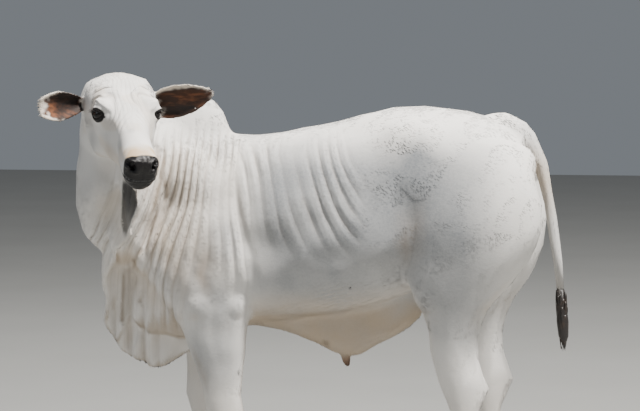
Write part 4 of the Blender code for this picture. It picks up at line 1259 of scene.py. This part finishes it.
def eyeball(side, material):
    """One eyeball with the cornea's slight bulge, marked for pupil, iris and rays."""
    facing, slit, up_way = eye_ways(side)
    # A little smaller than the eye's hollow, so that the lids lie over it.
    radius = EYE_RADIUS - 0.0002
    turns, rows = 48, 32
    # The cornea's height and the angle of its edge; the long pupil's half sizes; the iris's edge.
    bulge_height, bulge_edge = 0.045, 0.75
    pupil_length, pupil_height, iris_edge = 0.42, 0.20, 0.62
    points, zones, faces = [], [], []
    for i in range(rows + 1):
        polar = math.pi * i / rows
        for k in range(turns):
            turn = 2 * math.pi * k / turns
            flat = (math.cos(turn) * math.sin(polar), math.sin(turn) * math.sin(polar))
            bulge = 1 + bulge_height * max(0, 1 - (polar / bulge_edge) ** 2)
            points.append(eye_centre(side) + radius * bulge * (
                facing * math.cos(polar) + slit * flat[0] + up_way * flat[1]))
            level = math.hypot(flat[0] / pupil_length, flat[1] / pupil_height)
            zones.append((1 - min(max((level - 0.85) / 0.3, 0), 1),
                          1 - min(max((polar - iris_edge) / 0.10, 0), 1),
                          k / turns * 2 % 1, 1))
    for i in range(rows):
        for k in range(turns):
            m = (k + 1) % turns
            faces.append((i * turns + k, (i + 1) * turns + k, (i + 1) * turns + m, i * turns + m))
    mesh = mesh_of("eyeball", np.array(points) + SHIFT, faces)
    write_on(mesh, "eye_zones", zones)
    turned_out(mesh, weld=1e-6)
    mesh.materials.append(material)
    ball = new_object("eyeball_" + SIDE_NAMES[side], mesh)
    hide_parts("eye_" + SIDE_NAMES[side])
    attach(ball, BODY)


def lid_point(side, lid, swing, radius):
    """A place on one lid's edge, at a swing across the eye and a distance from its middle."""
    rise, skew = lid
    facing, slit, up_way = eye_ways(side)
    arch = rise * math.cos(math.radians((swing - skew) * 90 / (64 + abs(skew))))
    swing = math.radians(swing)
    return eye_centre(side) + radius * unit(
        facing * math.cos(swing) + slit * math.sin(swing) + up_way * arch)


def eye_rim(side, material):
    """The black rim of both lids: a closed roll round the slit, thickest on the upper lid."""
    steps, sides = 26, 12
    ways = [(UPPER_LID, -LID_SWING + 2 * LID_SWING * k / steps) for k in range(steps)]
    ways += [(LOWER_LID, LID_SWING - 2 * LID_SWING * k / steps) for k in range(steps)]
    path = np.array([lid_point(side, lid, swing, EYE_RADIUS + 0.0022) for lid, swing in ways])
    # The corners, where one lid's line meets the other's, are drawn out to soft points.
    for _ in range(3):
        path = (np.roll(path, 1, 0) + 2 * path + np.roll(path, -1, 0)) / 4
    rings = []
    for k, point in enumerate(path):
        ahead = unit(path[(k + 1) % len(path)] - path[k - 1])
        out = unit(point - eye_centre(side))
        across = np.cross(ahead, out)
        upper = ways[k][0] is UPPER_LID
        wide, tall = (0.0036, 0.0026) if upper else (0.0030, 0.0021)
        turns = [2 * math.pi * m / sides for m in range(sides)]
        rings.append([point + across * wide * math.cos(t) + out * tall * math.sin(t)
                      for t in turns])
    rim = loft("eye_rim_" + SIDE_NAMES[side], rings, closed=True)
    rim.data.materials.append(material)
    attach(rim, BODY)


# Repeated pieces.

def repeat_tree(name, template, material):
    """A Geometry Nodes tree that sets the template on each point, turned and sized by it."""
    tree = bpy.data.node_groups.new(name, "GeometryNodeTree")
    tree.interface.new_socket("Geometry", in_out="INPUT", socket_type="NodeSocketGeometry")
    size = tree.interface.new_socket("Overall size", in_out="INPUT", socket_type=NUMBER)
    size.default_value = 1.0
    tree.interface.new_socket("Geometry", in_out="OUTPUT", socket_type="NodeSocketGeometry")
    start, end = node(tree, "NodeGroupInput"), node(tree, "NodeGroupOutput")

    def made(kind, values, **settings):
        """The first output of a new node whose inputs are fed by number or name."""
        new = node(tree, kind, **settings)
        for key, value in values.items():
            feed(tree, new.inputs[key], value)
        return new.outputs["Geometry"] if "Geometry" in new.outputs else new.outputs[0]

    given = {label: made("GeometryNodeInputNamedAttribute", {"Name": label},
                         data_type="FLOAT_VECTOR") for label in ("turn", "size")}
    piece = made("GeometryNodeObjectInfo", {"Object": template})
    turn = made("FunctionNodeEulerToRotation", {0: given["turn"]})
    scale = made("ShaderNodeVectorMath",
                 {0: given["size"], "Scale": start.outputs["Overall size"]}, operation="SCALE")
    cloud = made("GeometryNodeMeshToPoints", {"Mesh": start.outputs["Geometry"]})
    spread = made("GeometryNodeInstanceOnPoints",
                  {"Points": cloud, "Instance": piece, "Rotation": turn, "Scale": scale})
    real = made("GeometryNodeRealizeInstances", {0: spread})
    dress(tree, end, Geometry=made("GeometryNodeSetMaterial",
                                   {"Geometry": real, "Material": material}))
    return tree, size.identifier


def repeated(name, template, material, places, turns, sizes):
    """One plain mesh of many turned and sized copies of a template."""
    mesh = mesh_of(name, places, [])
    write_on(mesh, "turn", turns)
    write_on(mesh, "size", sizes)
    obj = new_object(name, mesh)
    tree, size_id = repeat_tree(name + "_tree", template, material)
    modifier = obj.modifiers.new("Repeat", "NODES")
    modifier.node_group = tree
    modifier[size_id] = 1.0
    settled(obj)
    for label in ("turn", "size"):
        if label in obj.data.attributes:
            obj.data.attributes.remove(obj.data.attributes[label])
    bpy.data.objects.remove(template)
    obj.data.shade_smooth()
    return obj


def euler_of(along, out):
    """The turn that takes +Z to one direction and +Y towards another, as Euler angles."""
    along, out = unit(along), np.asarray(out, float)
    out = unit(out - along * (out @ along))
    side = np.cross(out, along)
    return tuple(Matrix(np.column_stack((side, out, along)).tolist()).to_euler())


def hair_template(name, length, width, curl, rows, sides, thick):
    """A tapering hair or lock that rises along +Z and bends towards +Y, with a strand map."""
    points, marks = [], []
    for i in range(rows):
        share = i / (rows - 1)
        belly = 0.62 + 0.5 * math.sin(math.pi * min(share * 1.5, 1))
        half = max(width / 2 * (1 - share ** 2.2) * belly, width * 0.03)
        for k in range(sides):
            turn = 2 * math.pi * k / sides
            points.append((half * math.cos(turn), curl * share ** 2 + thick * half * math.sin(turn),
                           length * share))
            marks.append((k / sides, share))
    mesh = mesh_of(name, points, tube_faces(rows, sides))
    flat_map(mesh, "strand", marks)
    return new_object(name, mesh)


def lashes(side, material):
    """Black lashes on the upper lid, which point up and down by turns."""
    rng = np.random.default_rng(SEED + 30 + side)
    _, _, up_way = eye_ways(side)
    count = 46
    places, turns, sizes = [], [], []
    for k in range(count):
        share = (k + 0.5) / count
        swing = -52 + 100 * share
        root = lid_point(side, UPPER_LID, swing, EYE_RADIUS + 0.0042)
        out = unit(root - eye_centre(side))
        way = unit(out + up_way * (0.18 - 0.5 * (k % 2)) + rng.normal(size=3) * 0.10)
        places.append(root + SHIFT)
        turns.append(euler_of(way, up_way * 0.7 - out))
        length = 0.8 + 0.5 * math.sin(math.pi * share) + rng.uniform(-0.1, 0.1)
        sizes.append((1, 1, length))
    template = hair_template("lash", length=0.0115, width=0.0008, curl=0.004, rows=5, sides=3,
                             thick=1.0)
    obj = repeated("lashes_" + SIDE_NAMES[side], template, material, places, turns, sizes)
    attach(obj, BODY)


def switch(material):
    """The black switch: many long locks that leave the dock and hang close about it."""
    rng = np.random.default_rng(SEED + 50)
    low, high = (np.array(corner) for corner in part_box("tail_switch"))
    middle = (low + high) / 2
    top, length = high[2], high[2] - low[2]
    places, turns, sizes = [], [], []
    count, lock_length = 150, 0.06
    for k in range(count):
        share = (k / count) ** 0.9
        turn = LOCK_TURN * k
        out = np.array((math.cos(turn), math.sin(turn), 0.0))
        fullness = 0.0105 + 0.0085 * math.sin(math.pi * min(0.15 + share, 1))
        fall = 0.70 * share
        root = np.array((middle[0] - 0.006 + 0.012 * fall, middle[1], top - fall * length))
        root = root + out * fullness * rng.uniform(0.25, 0.95)
        root = root + np.array((0, 0, 0.012 - 0.008 * share))
        drop = min(length * rng.uniform(0.26, 0.40), root[2] - low[2] + 0.004)
        way = unit(np.array((0.03, 0, -1)) + out * rng.uniform(0.00, 0.10))
        places.append(root)
        turns.append(euler_of(way, -out))
        sizes.append((rng.uniform(0.8, 1.25), rng.uniform(0.7, 1.1), drop / lock_length))
    template = hair_template("switch_lock", length=lock_length, width=0.0075, curl=0.006, rows=8,
                             sides=6, thick=0.5)
    obj = repeated("switch_locks", template, material, places, turns, sizes)
    points = mesh_points(obj.data)
    points = np.minimum(np.maximum(points, low - 0.002), high + (0.002, 0.002, 0.012))
    wave = 0.0022 * np.sin((top - points[:, 2]) * 46 + 3 * np.arctan2(points[:, 1] - middle[1],
                                                                   points[:, 0] - middle[0]))
    points[:, 0] += wave * eased(top - points[:, 2], 0.02, 0.08)
    put_points(obj.data, points)
    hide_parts("tail_switch")
    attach(obj, BODY)

    # A solid core fills the locks' middle.
    rings, sides = [], 16
    core_radii = ((-0.05, 0.0118), (0.2, 0.0145), (0.5, 0.0180), (0.75, 0.0150), (0.93, 0.003))
    for share, radius in core_radii:
        centre = np.array((middle[0] - 0.006 + 0.012 * share, middle[1],
                           top - 0.001 - share * length)) - SHIFT
        rings.append([centre + radius * np.array((math.cos(t), math.sin(t), 0))
                      for t in np.linspace(0, 2 * math.pi, sides, endpoint=False)])
    core = loft("switch_core", rings)
    flat_map(core.data, "strand", [(k / sides, row / len(core_radii))
                                   for row in range(len(core_radii)) for k in range(sides)])
    core.data.materials.append(material)
    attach(core, BODY)


# Hooves.

def hoof(name, material):
    """One claw of a hoof: a pointed toe, a cleft face, growth rings and a flat sole."""
    middle = middle_of(name)
    outer = 1 if ("outer" in name) == ("right" in name) else -1
    # Height over the ground, the toe's and the heel's place, and half the width.
    levels = ((0.000, -0.055, 0.040, 0.0205), (0.004, -0.0565, 0.0415, 0.0212),
              (0.014, -0.052, 0.043, 0.0214), (0.030, -0.046, 0.044, 0.0211),
              (0.048, -0.038, 0.044, 0.0205), (0.062, -0.031, 0.040, 0.0196),
              (0.071, -0.026, 0.036, 0.0186), (0.0745, -0.022, 0.032, 0.0165))
    foot_x = middle[0] + 0.007
    ring_pitch, ring_height = 0.0062, 0.00045
    sides, steps = 36, 3
    rings = []
    for i in range(len(levels) - 1):
        for s in range(steps if i < len(levels) - 2 else steps + 1):
            t = s / steps
            z, toe, heel, half = (p + (q - p) * t for p, q in zip(levels[i], levels[i + 1]))
            ring = []
            grow = ring_height * math.sin(z * 2 * math.pi / ring_pitch) * (0.004 < z < 0.064)
            for k in range(sides):
                turn = 2 * math.pi * k / sides
                ahead, aside = math.cos(turn), math.sin(turn)
                squared = (abs(ahead) ** 2.5 + abs(aside) ** 2.5) ** (-1 / 2.5)
                x = (toe + heel) / 2 - ahead * squared * (heel - toe) / 2
                narrow = 1 - 0.36 * eased(np.array(ahead), 0.1, 1.0)
                y = aside * squared * half * narrow
                if y * outer < 0:
                    y *= 0.88
                y += -outer * 0.0022 * max(ahead, 0) ** 2
                away = np.array((x, y, 0)) / max(math.hypot(x, y), 1e-6)
                ring.append(np.array((foot_x + x, middle[1] + y, z)) + away * grow)
            rings.append(ring)
    tread = np.array((foot_x, middle[1], 0))
    sole = [tread + (p - tread) * 0.72 for p in rings[0]]
    obj = loft(name.replace("claw", "hoof"), [sole, *rings])
    obj.data.materials.append(material)
    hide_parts(name)
    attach(obj, BODY)


def dewclaw(name, material):
    """A small blunt horn nub behind the fetlock, ringed as the hooves are."""
    middle = middle_of(name)
    down = unit((0.42, 0, -0.9))
    ahead = unit((0.9, 0, 0.42))
    rows, sides = 15, 20
    rings = []
    for i in range(rows):
        t = i / (rows - 1)
        reach = -0.018 + 0.0352 * t
        wide = 0.0105 * math.sqrt(max(1 - (2 * t - 1) ** 4, 0.02)) * (1 - 0.25 * t)
        wide += 0.0003 * math.sin(t * 30)
        centre = middle + down * reach
        rings.append([centre + np.array((0, 1, 0)) * wide * math.cos(a) + ahead * wide * math.sin(a)
                      for a in np.linspace(0, 2 * math.pi, sides, endpoint=False)])
    obj = loft(name.replace("dewclaw", "spur"), rings)
    obj.data.materials.append(material)
    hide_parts(name)
    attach(obj, BODY)


# The coat.

def lie_of_coat(points, normals, area):
    """Which way the hair points at each place."""
    x, z = area["x"], area["z"]
    down_face = eased(area["a"], 0.10, 0.14)[:, None]
    face = ALONG * (2 * down_face - 1) + 0.25 * np.sign(area["b"])[:, None] * TO_LEFT
    way = np.tile(unit((0.80, 0.0, -0.60)), (len(points), 1))
    for share, towards in (
        (eased(-x, 0.36, 0.50) * (z > 0.6), unit((0.45, 0.25, -0.85))),
        (1 - eased(z, 0.55, 0.72), unit((0.10, 0.0, -1.0))),
        (area["head"], face),
        *((ear_mask(points, side), unit(EAR_REACH[side])) for side in (LEFT, RIGHT)),
        (area["tail"], unit((0.12, 0.0, -1.0))),
    ):
        way = way * (1 - share)[:, None] + share[:, None] * towards
    way = way - normals * (way * normals).sum(1)[:, None]
    return way / np.linalg.norm(way, axis=1).clip(1e-6)[:, None]


def coat_needs(points, normals, marks):
    """How thick the tufts stand at each place, their length, their width and their lift."""
    area = marks["area"]
    x, y, z, a, c = (area[k] for k in "xyzac")
    head, ears, legs, tail = (area[k] for k in ("head", "ears", "legs", "tail"))
    density = 1.0 + 0.6 * np.maximum(head, ears)
    length = TUFT_LENGTH * (1 - 0.50 * head) * (1 - 0.36 * legs)
    width = TUFT_WIDTH * (1 - 0.36 * head) * (1 - 0.20 * legs)
    lift = np.full(len(points), TUFT_LIFT)
    # Longer and looser on crest and back line, poll, belly, backs of legs and the ears' rims, and
    # shorter on the edges of throat and dewlap.
    crest = band(x, -0.62, 0.55, 0.03) * furrow(y + 0.02, 0.05) * eased(normals[:, 2], 0.5, 0.9)
    crest *= (1 - head)
    poll = head * band(a, -0.03, 0.07, 0.02) * eased(c, 0.06, 0.085)
    fringe = eased(-x, 0.38, 0.46) * (1 - eased(z, 1.0, 1.15)) * eased(
        -normals[:, 2] + 0.8 * np.abs(normals[:, 0]) * (np.abs(y + 0.06) < 0.16), 0.45, 0.9)
    belly = area["down"] * eased(0.75 - z, 0, 0.1) * (1 - legs)
    backs = legs * eased(normals[:, 0], 0.4, 0.9)
    ear_edge = np.zeros(len(points))
    for side in (LEFT, RIGHT):
        share, across, up = ear_coords(points, side)
        rim = eased(np.abs(across), 0.030, 0.046) + eased(share, 0.86, 0.97)
        ear_edge = np.maximum(ear_edge, rim.clip(0, 1) * ear_mask(points, side))
    longer = 0.4 * crest + 0.4 * poll - 0.35 * fringe + 0.3 * belly + 0.3 * backs + 0.2 * ear_edge
    length = length * (1 + longer) * (1 - 0.35 * ears)
    lift = lift + 0.03 * crest + 0.10 * poll + 0.05 * belly + 0.05 * backs
    lift = lift + 0.10 * ear_edge
    density = density * (1 + crest + 1.2 * poll + 0.2 * fringe + 0.8 * belly + 0.8 * backs
                         + 2.2 * ear_edge + 1.5 * tail)
    width = width * (1 - 0.35 * ears) * (1 - 0.2 * longer)
    length = length * (1 - 0.25 * tail)
    muzzle_near = eased(a, 0.30, 0.40) * head
    length = length * (1 - 0.45 * muzzle_near)
    density = density * (1 - 0.97 * marks["bare"]) * (1 - 0.93 * marks["brown"] * (1 - ear_edge))
    for side in (LEFT, RIGHT):
        along, up, out = eye_gap(points, side)
        near_eye = (1 - eased(np.hypot(along * 0.72, up), 1.15, 1.4)) * (out > 0) * head
        density = density * (1 - near_eye)
    density = density * (z > 0.078) * (1 - marks["hollow"] ** 0.5)
    return density, length, width, lift


def chart(kind, points, area):
    """Where a place lies on its coat piece's flat map, from 0 to 1 both ways."""
    x, y, z = area["x"], area["y"], area["z"]
    if kind == "head":
        u = (area["a"] + 0.06) / 0.52
        v = np.arctan2(area["c"] + 0.01, area["b"]) / (2 * math.pi) + 0.5
    elif kind == "ears":
        side = np.where(ear_mask(points, LEFT) > ear_mask(points, RIGHT), 0.0, 0.5)
        one, two = ear_coords(points, LEFT), ear_coords(points, RIGHT)
        share = np.where(side == 0, one[0], two[0])
        across = np.where(side == 0, one[1], two[1])
        inner = np.where(side == 0, area["ear_in_left"], area["ear_in_right"])
        u = side + inner * 0.25 + (across + 0.07) / 0.14 * 0.24
        v = share / 1.15
    elif kind == "legs":
        hind = (x > 0) * 0.5
        right = (y > 0) * 0.25
        axis_x = np.where(x > 0, 0.455 + 0.055 * (y > 0), -0.268 - 0.105 * (y > 0))
        turn = np.arctan2(y - np.sign(y) * 0.128, x - axis_x)
        u = hind + right + (turn / (2 * math.pi) + 0.5) * 0.245
        v = z / 0.72
    elif kind == "tail":
        u = (np.arctan2(y, x - 0.67) / (2 * math.pi) + 0.5) * 0.98
        v = (z - 0.70) / 0.60
    elif kind == "neck":
        u = (np.arctan2(z - 1.0, y + 0.12) / (2 * math.pi) + 0.5) * 0.98
        v = (x + 0.68) / 0.36
    else:
        u = (x + 0.42) / 1.14
        v = np.arctan2(z - 0.95, y) / (2 * math.pi) + 0.5
    return np.column_stack((u, v)).clip(0.004, 0.992)


def tuft_arrays(roots, normals, ways, length, width, lift, rng):
    """All points and faces of thin, pointed, three-sided tufts that lie along the hide."""
    count = len(roots)
    sides = np.cross(normals, ways)
    twist = rng.normal(0, 0.16, count)[:, None]
    ways = ways * np.cos(twist) + sides * np.sin(twist)
    sides = np.cross(normals, ways)
    rise = (lift * rng.uniform(0.7, 1.3, count))[:, None]
    length = (length * rng.uniform(0.75, 1.2, count))[:, None]
    width = (width * rng.uniform(0.8, 1.2, count))[:, None]
    centre = roots - normals * ROOT_DEPTH
    points = np.empty((count, TUFT_POINTS, 3))
    for ring, (share, spread, height) in enumerate(((0.0, 0.55, 0.0), (0.5, 0.5, 0.62))):
        at = centre + ways * length * share
        at = at + normals * (length * rise * height + 0.0005 * (ring > 0))
        thick = width * TUFT_FLATNESS
        points[:, 3 * ring] = at - sides * width * spread
        points[:, 3 * ring + 1] = at + sides * width * spread
        points[:, 3 * ring + 2] = at + normals * thick
    curl = rng.uniform(-0.12, 0.12, count)[:, None]
    points[:, 6] = centre + ways * length + normals * (length * rise * 0.8) + sides * length * curl
    quads = np.array(((0, 1, 4, 3), (1, 2, 5, 4), (2, 0, 3, 5)))
    tris = np.array(((3, 4, 6), (4, 5, 6), (5, 3, 6), (0, 2, 1)))
    step = (np.arange(count) * TUFT_POINTS)[:, None, None]
    return points.reshape(-1, 3), (quads + step).reshape(-1, 4), (tris + step).reshape(-1, 3)


def mesh_from_arrays(name, points, quads, tris):
    mesh = bpy.data.meshes.new(name)
    mesh.vertices.add(len(points))
    mesh.vertices.foreach_set("co", points.astype(np.float32).ravel())
    corners = np.concatenate((quads.ravel(), tris.ravel())).astype(np.int32)
    mesh.loops.add(len(corners))
    mesh.loops.foreach_set("vertex_index", corners)
    starts = np.concatenate((np.arange(len(quads)) * 4, len(quads) * 4 + np.arange(len(tris)) * 3))
    mesh.polygons.add(len(starts))
    mesh.polygons.foreach_set("loop_start", starts.astype(np.int32))
    mesh.update(calc_edges=True)
    mesh.validate()
    return mesh


def tuft_roots(mesh, rng):
    """Random places on the hide, more where the coat stands thick, with the normals of their
    triangles and their smooth normals."""
    mesh.calc_loop_triangles()
    points = mesh_points(mesh) - SHIFT
    corners = values_of(mesh.loop_triangles, "vertices", 3, np.int32)
    a, b, c = (points[corners[:, k]] for k in range(3))
    cross = np.cross(b - a, c - a)
    areas = np.linalg.norm(cross, axis=1) / 2
    flat = cross / (2 * areas[:, None]).clip(1e-12)
    middles = (a + b + c) / 3
    density = coat_needs(middles, flat, markings(middles, flat))[0]
    chance = areas * density
    chosen = rng.choice(len(areas), TUFTS, p=chance / chance.sum())
    s, t = rng.random(TUFTS), rng.random(TUFTS)
    over = s + t > 1
    s[over], t[over] = 1 - s[over], 1 - t[over]
    roots = a[chosen] + (b - a)[chosen] * s[:, None] + (c - a)[chosen] * t[:, None]
    smooth = vertex_normals(mesh)
    normals = sum(smooth[corners[chosen, k]] * w[:, None]
                  for k, w in enumerate((1 - s - t, s, t)))
    return roots, flat[chosen], normals / np.linalg.norm(normals, axis=1)[:, None]


def coat_kinds(area):
    """The number of the coat piece that each place belongs to."""
    x, y, z = area["x"], area["y"], area["z"]
    kinds = (y > 0).astype(int) + 2 * (x > 0.12)
    kinds[(x < -0.365) & (z > 0.56)] = COAT_PIECES.index("neck")
    for name in ("legs", "tail", "head", "ears"):
        kinds[area[name] > 0.5] = COAT_PIECES.index(name)
    return kinds


def coat_piece(name, mine, roots, normals, ways, sizes, marks, rng):
    """One part's tufts, with the hide's markings, a flat map, and normals close to the hide's."""
    points, quads, tris = tuft_arrays(roots[mine], normals[mine], ways[mine],
                                      *(size[mine] for size in sizes), rng)
    mesh = mesh_from_arrays("coat_" + name, points + SHIFT, quads, tris)
    spread = np.repeat(mine, TUFT_POINTS)
    hide = normals[spread]
    own = {key: marks[key][spread] for key in
           ("black", "grey", "folds", "tan", "brown", "bare", "shares")}
    own["lines"] = fold_field(points, hide, regions(points, hide))[0]
    paint(mesh, own)
    at = chart(name, roots[mine], {key: values[mine] for key, values in marks["area"].items()})
    place = (at[:, None, :] + (np.array(TUFT_MAP) - 0.5) * PATCH).reshape(-1, 2)
    flat_map(mesh, "OFBake", place)
    mesh.shade_smooth()
    lying = vertex_normals(mesh) * 0.10 + hide * 0.95
    lying /= np.linalg.norm(lying, axis=1)[:, None]
    mesh.normals_split_custom_set_from_vertices(lying.tolist())
    return mesh


def coat(skin, material):
    """Lays the coat: tufts over the whole hide, in pieces by part of the body."""
    rng = np.random.default_rng(SEED)
    roots, flat, normals = tuft_roots(skin.data, rng)
    marks = markings(roots, flat)
    area = marks["area"]
    for side in (LEFT, RIGHT):
        opening = unit(EAR_OPENING[side])
        area["ear_in_" + SIDE_NAMES[side]] = (normals @ opening > 0).astype(float)
    _, *sizes = coat_needs(roots, normals, marks)
    ways = lie_of_coat(roots, normals, area)
    kinds = coat_kinds(area)
    for kind, name in enumerate(COAT_PIECES):
        mine = np.where(kinds == kind)[0]
        mesh = coat_piece(name, mine, roots, normals, ways, sizes, marks, rng)
        mesh.materials.append(material)
        obj = new_object("coat_" + name, mesh)
        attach(obj, BODY)


# Floor, light, camera.

def stage():
    material, tree, surface = principled("pale_floor", Roughness=0.85)
    clouds = noise(tree, object_place(tree), 1.4, 3.0)
    dress(tree, surface, Base_Color=mixed(tree, clouds, (0.27, 0.27, 0.26), (0.31, 0.31, 0.30)))
    corners = [(FLOOR_HALF * p, FLOOR_HALF * q, 0) for p, q in ((-1, -1), (1, -1), (1, 1), (-1, 1))]
    floor = new_object("floor", mesh_of("floor", corners, [(0, 1, 2, 3)]))
    floor.data.materials.append(material)

    world = bpy.data.worlds.new("pale_room")
    world.use_nodes = True
    light = world.node_tree.nodes["Background"]
    light.inputs[0].default_value = (0.80, 0.87, 0.95, 1)
    light.inputs[1].default_value = 0.23
    bpy.context.scene.world = world
    # Lamps that all aim at the middle of the body: name, place, size, power, colour.
    for name, place, size, energy, colour in (
        ("key", (2.9, -1.7, 8.0), 0.9, 2150, (1.0, 0.97, 0.92)),
        ("fill", (-4.2, -3.6, 3.4), 3.0, 45, (0.90, 0.95, 1.0)),
        ("back", (-1.6, 3.6, 5.2), 2.4, 110, (1.0, 0.98, 0.95)),
    ):
        lamp = bpy.data.lights.new(name, "AREA")
        lamp.shape = "SQUARE"
        lamp.size = size
        lamp.energy = energy
        lamp.color = colour
        obj = new_object(name, lamp)
        obj.location = place
        aim = Vector((0, 0, BODY_MIDDLE)) - Vector(place)
        obj.rotation_euler = aim.to_track_quat("-Z", "Y").to_euler()

    camera = bpy.data.cameras.new("camera")
    camera.sensor_width = SENSOR_WIDTH
    camera.lens = FOCAL_PIXELS / PICTURE_WIDTH * SENSOR_WIDTH
    obj = new_object("camera", camera)
    obj.location = (CAMERA_DISTANCE * math.sin(CAMERA_TURN) + SHIFT[0],
                    -CAMERA_DISTANCE * math.cos(CAMERA_TURN) + SHIFT[1], CAMERA_HEIGHT)
    obj.rotation_euler = (math.pi / 2 - math.atan(DIP_PIXELS / FOCAL_PIXELS), 0, CAMERA_TURN)
    bpy.context.scene.camera = obj


def main():
    skin = skin_object()
    mesh = skin.data
    marks = markings(mesh_points(mesh) - SHIFT, vertex_normals(mesh))
    paint(mesh, marks)
    mesh.materials.clear()
    mesh.materials.append(skin_material())
    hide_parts(*FLESH)
    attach(skin, BODY)

    eye = eye_material()
    rim_black = bare_skin_material("black_lid_skin", (0.004, 0.0035, 0.004), (0.012, 0.010, 0.010),
                                   0.40, 260.0)
    hair = lock_material()
    for side in (LEFT, RIGHT):
        eyeball(side, eye)
        eye_rim(side, rim_black)
        lashes(side, hair)
    switch(hair)
    horn = horn_material()
    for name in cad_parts:
        if name.startswith("claw_"):
            hoof(name, horn)
        elif name.startswith("dewclaw_"):
            dewclaw(name, horn)
    coat(skin, coat_material())
    stage()


main()
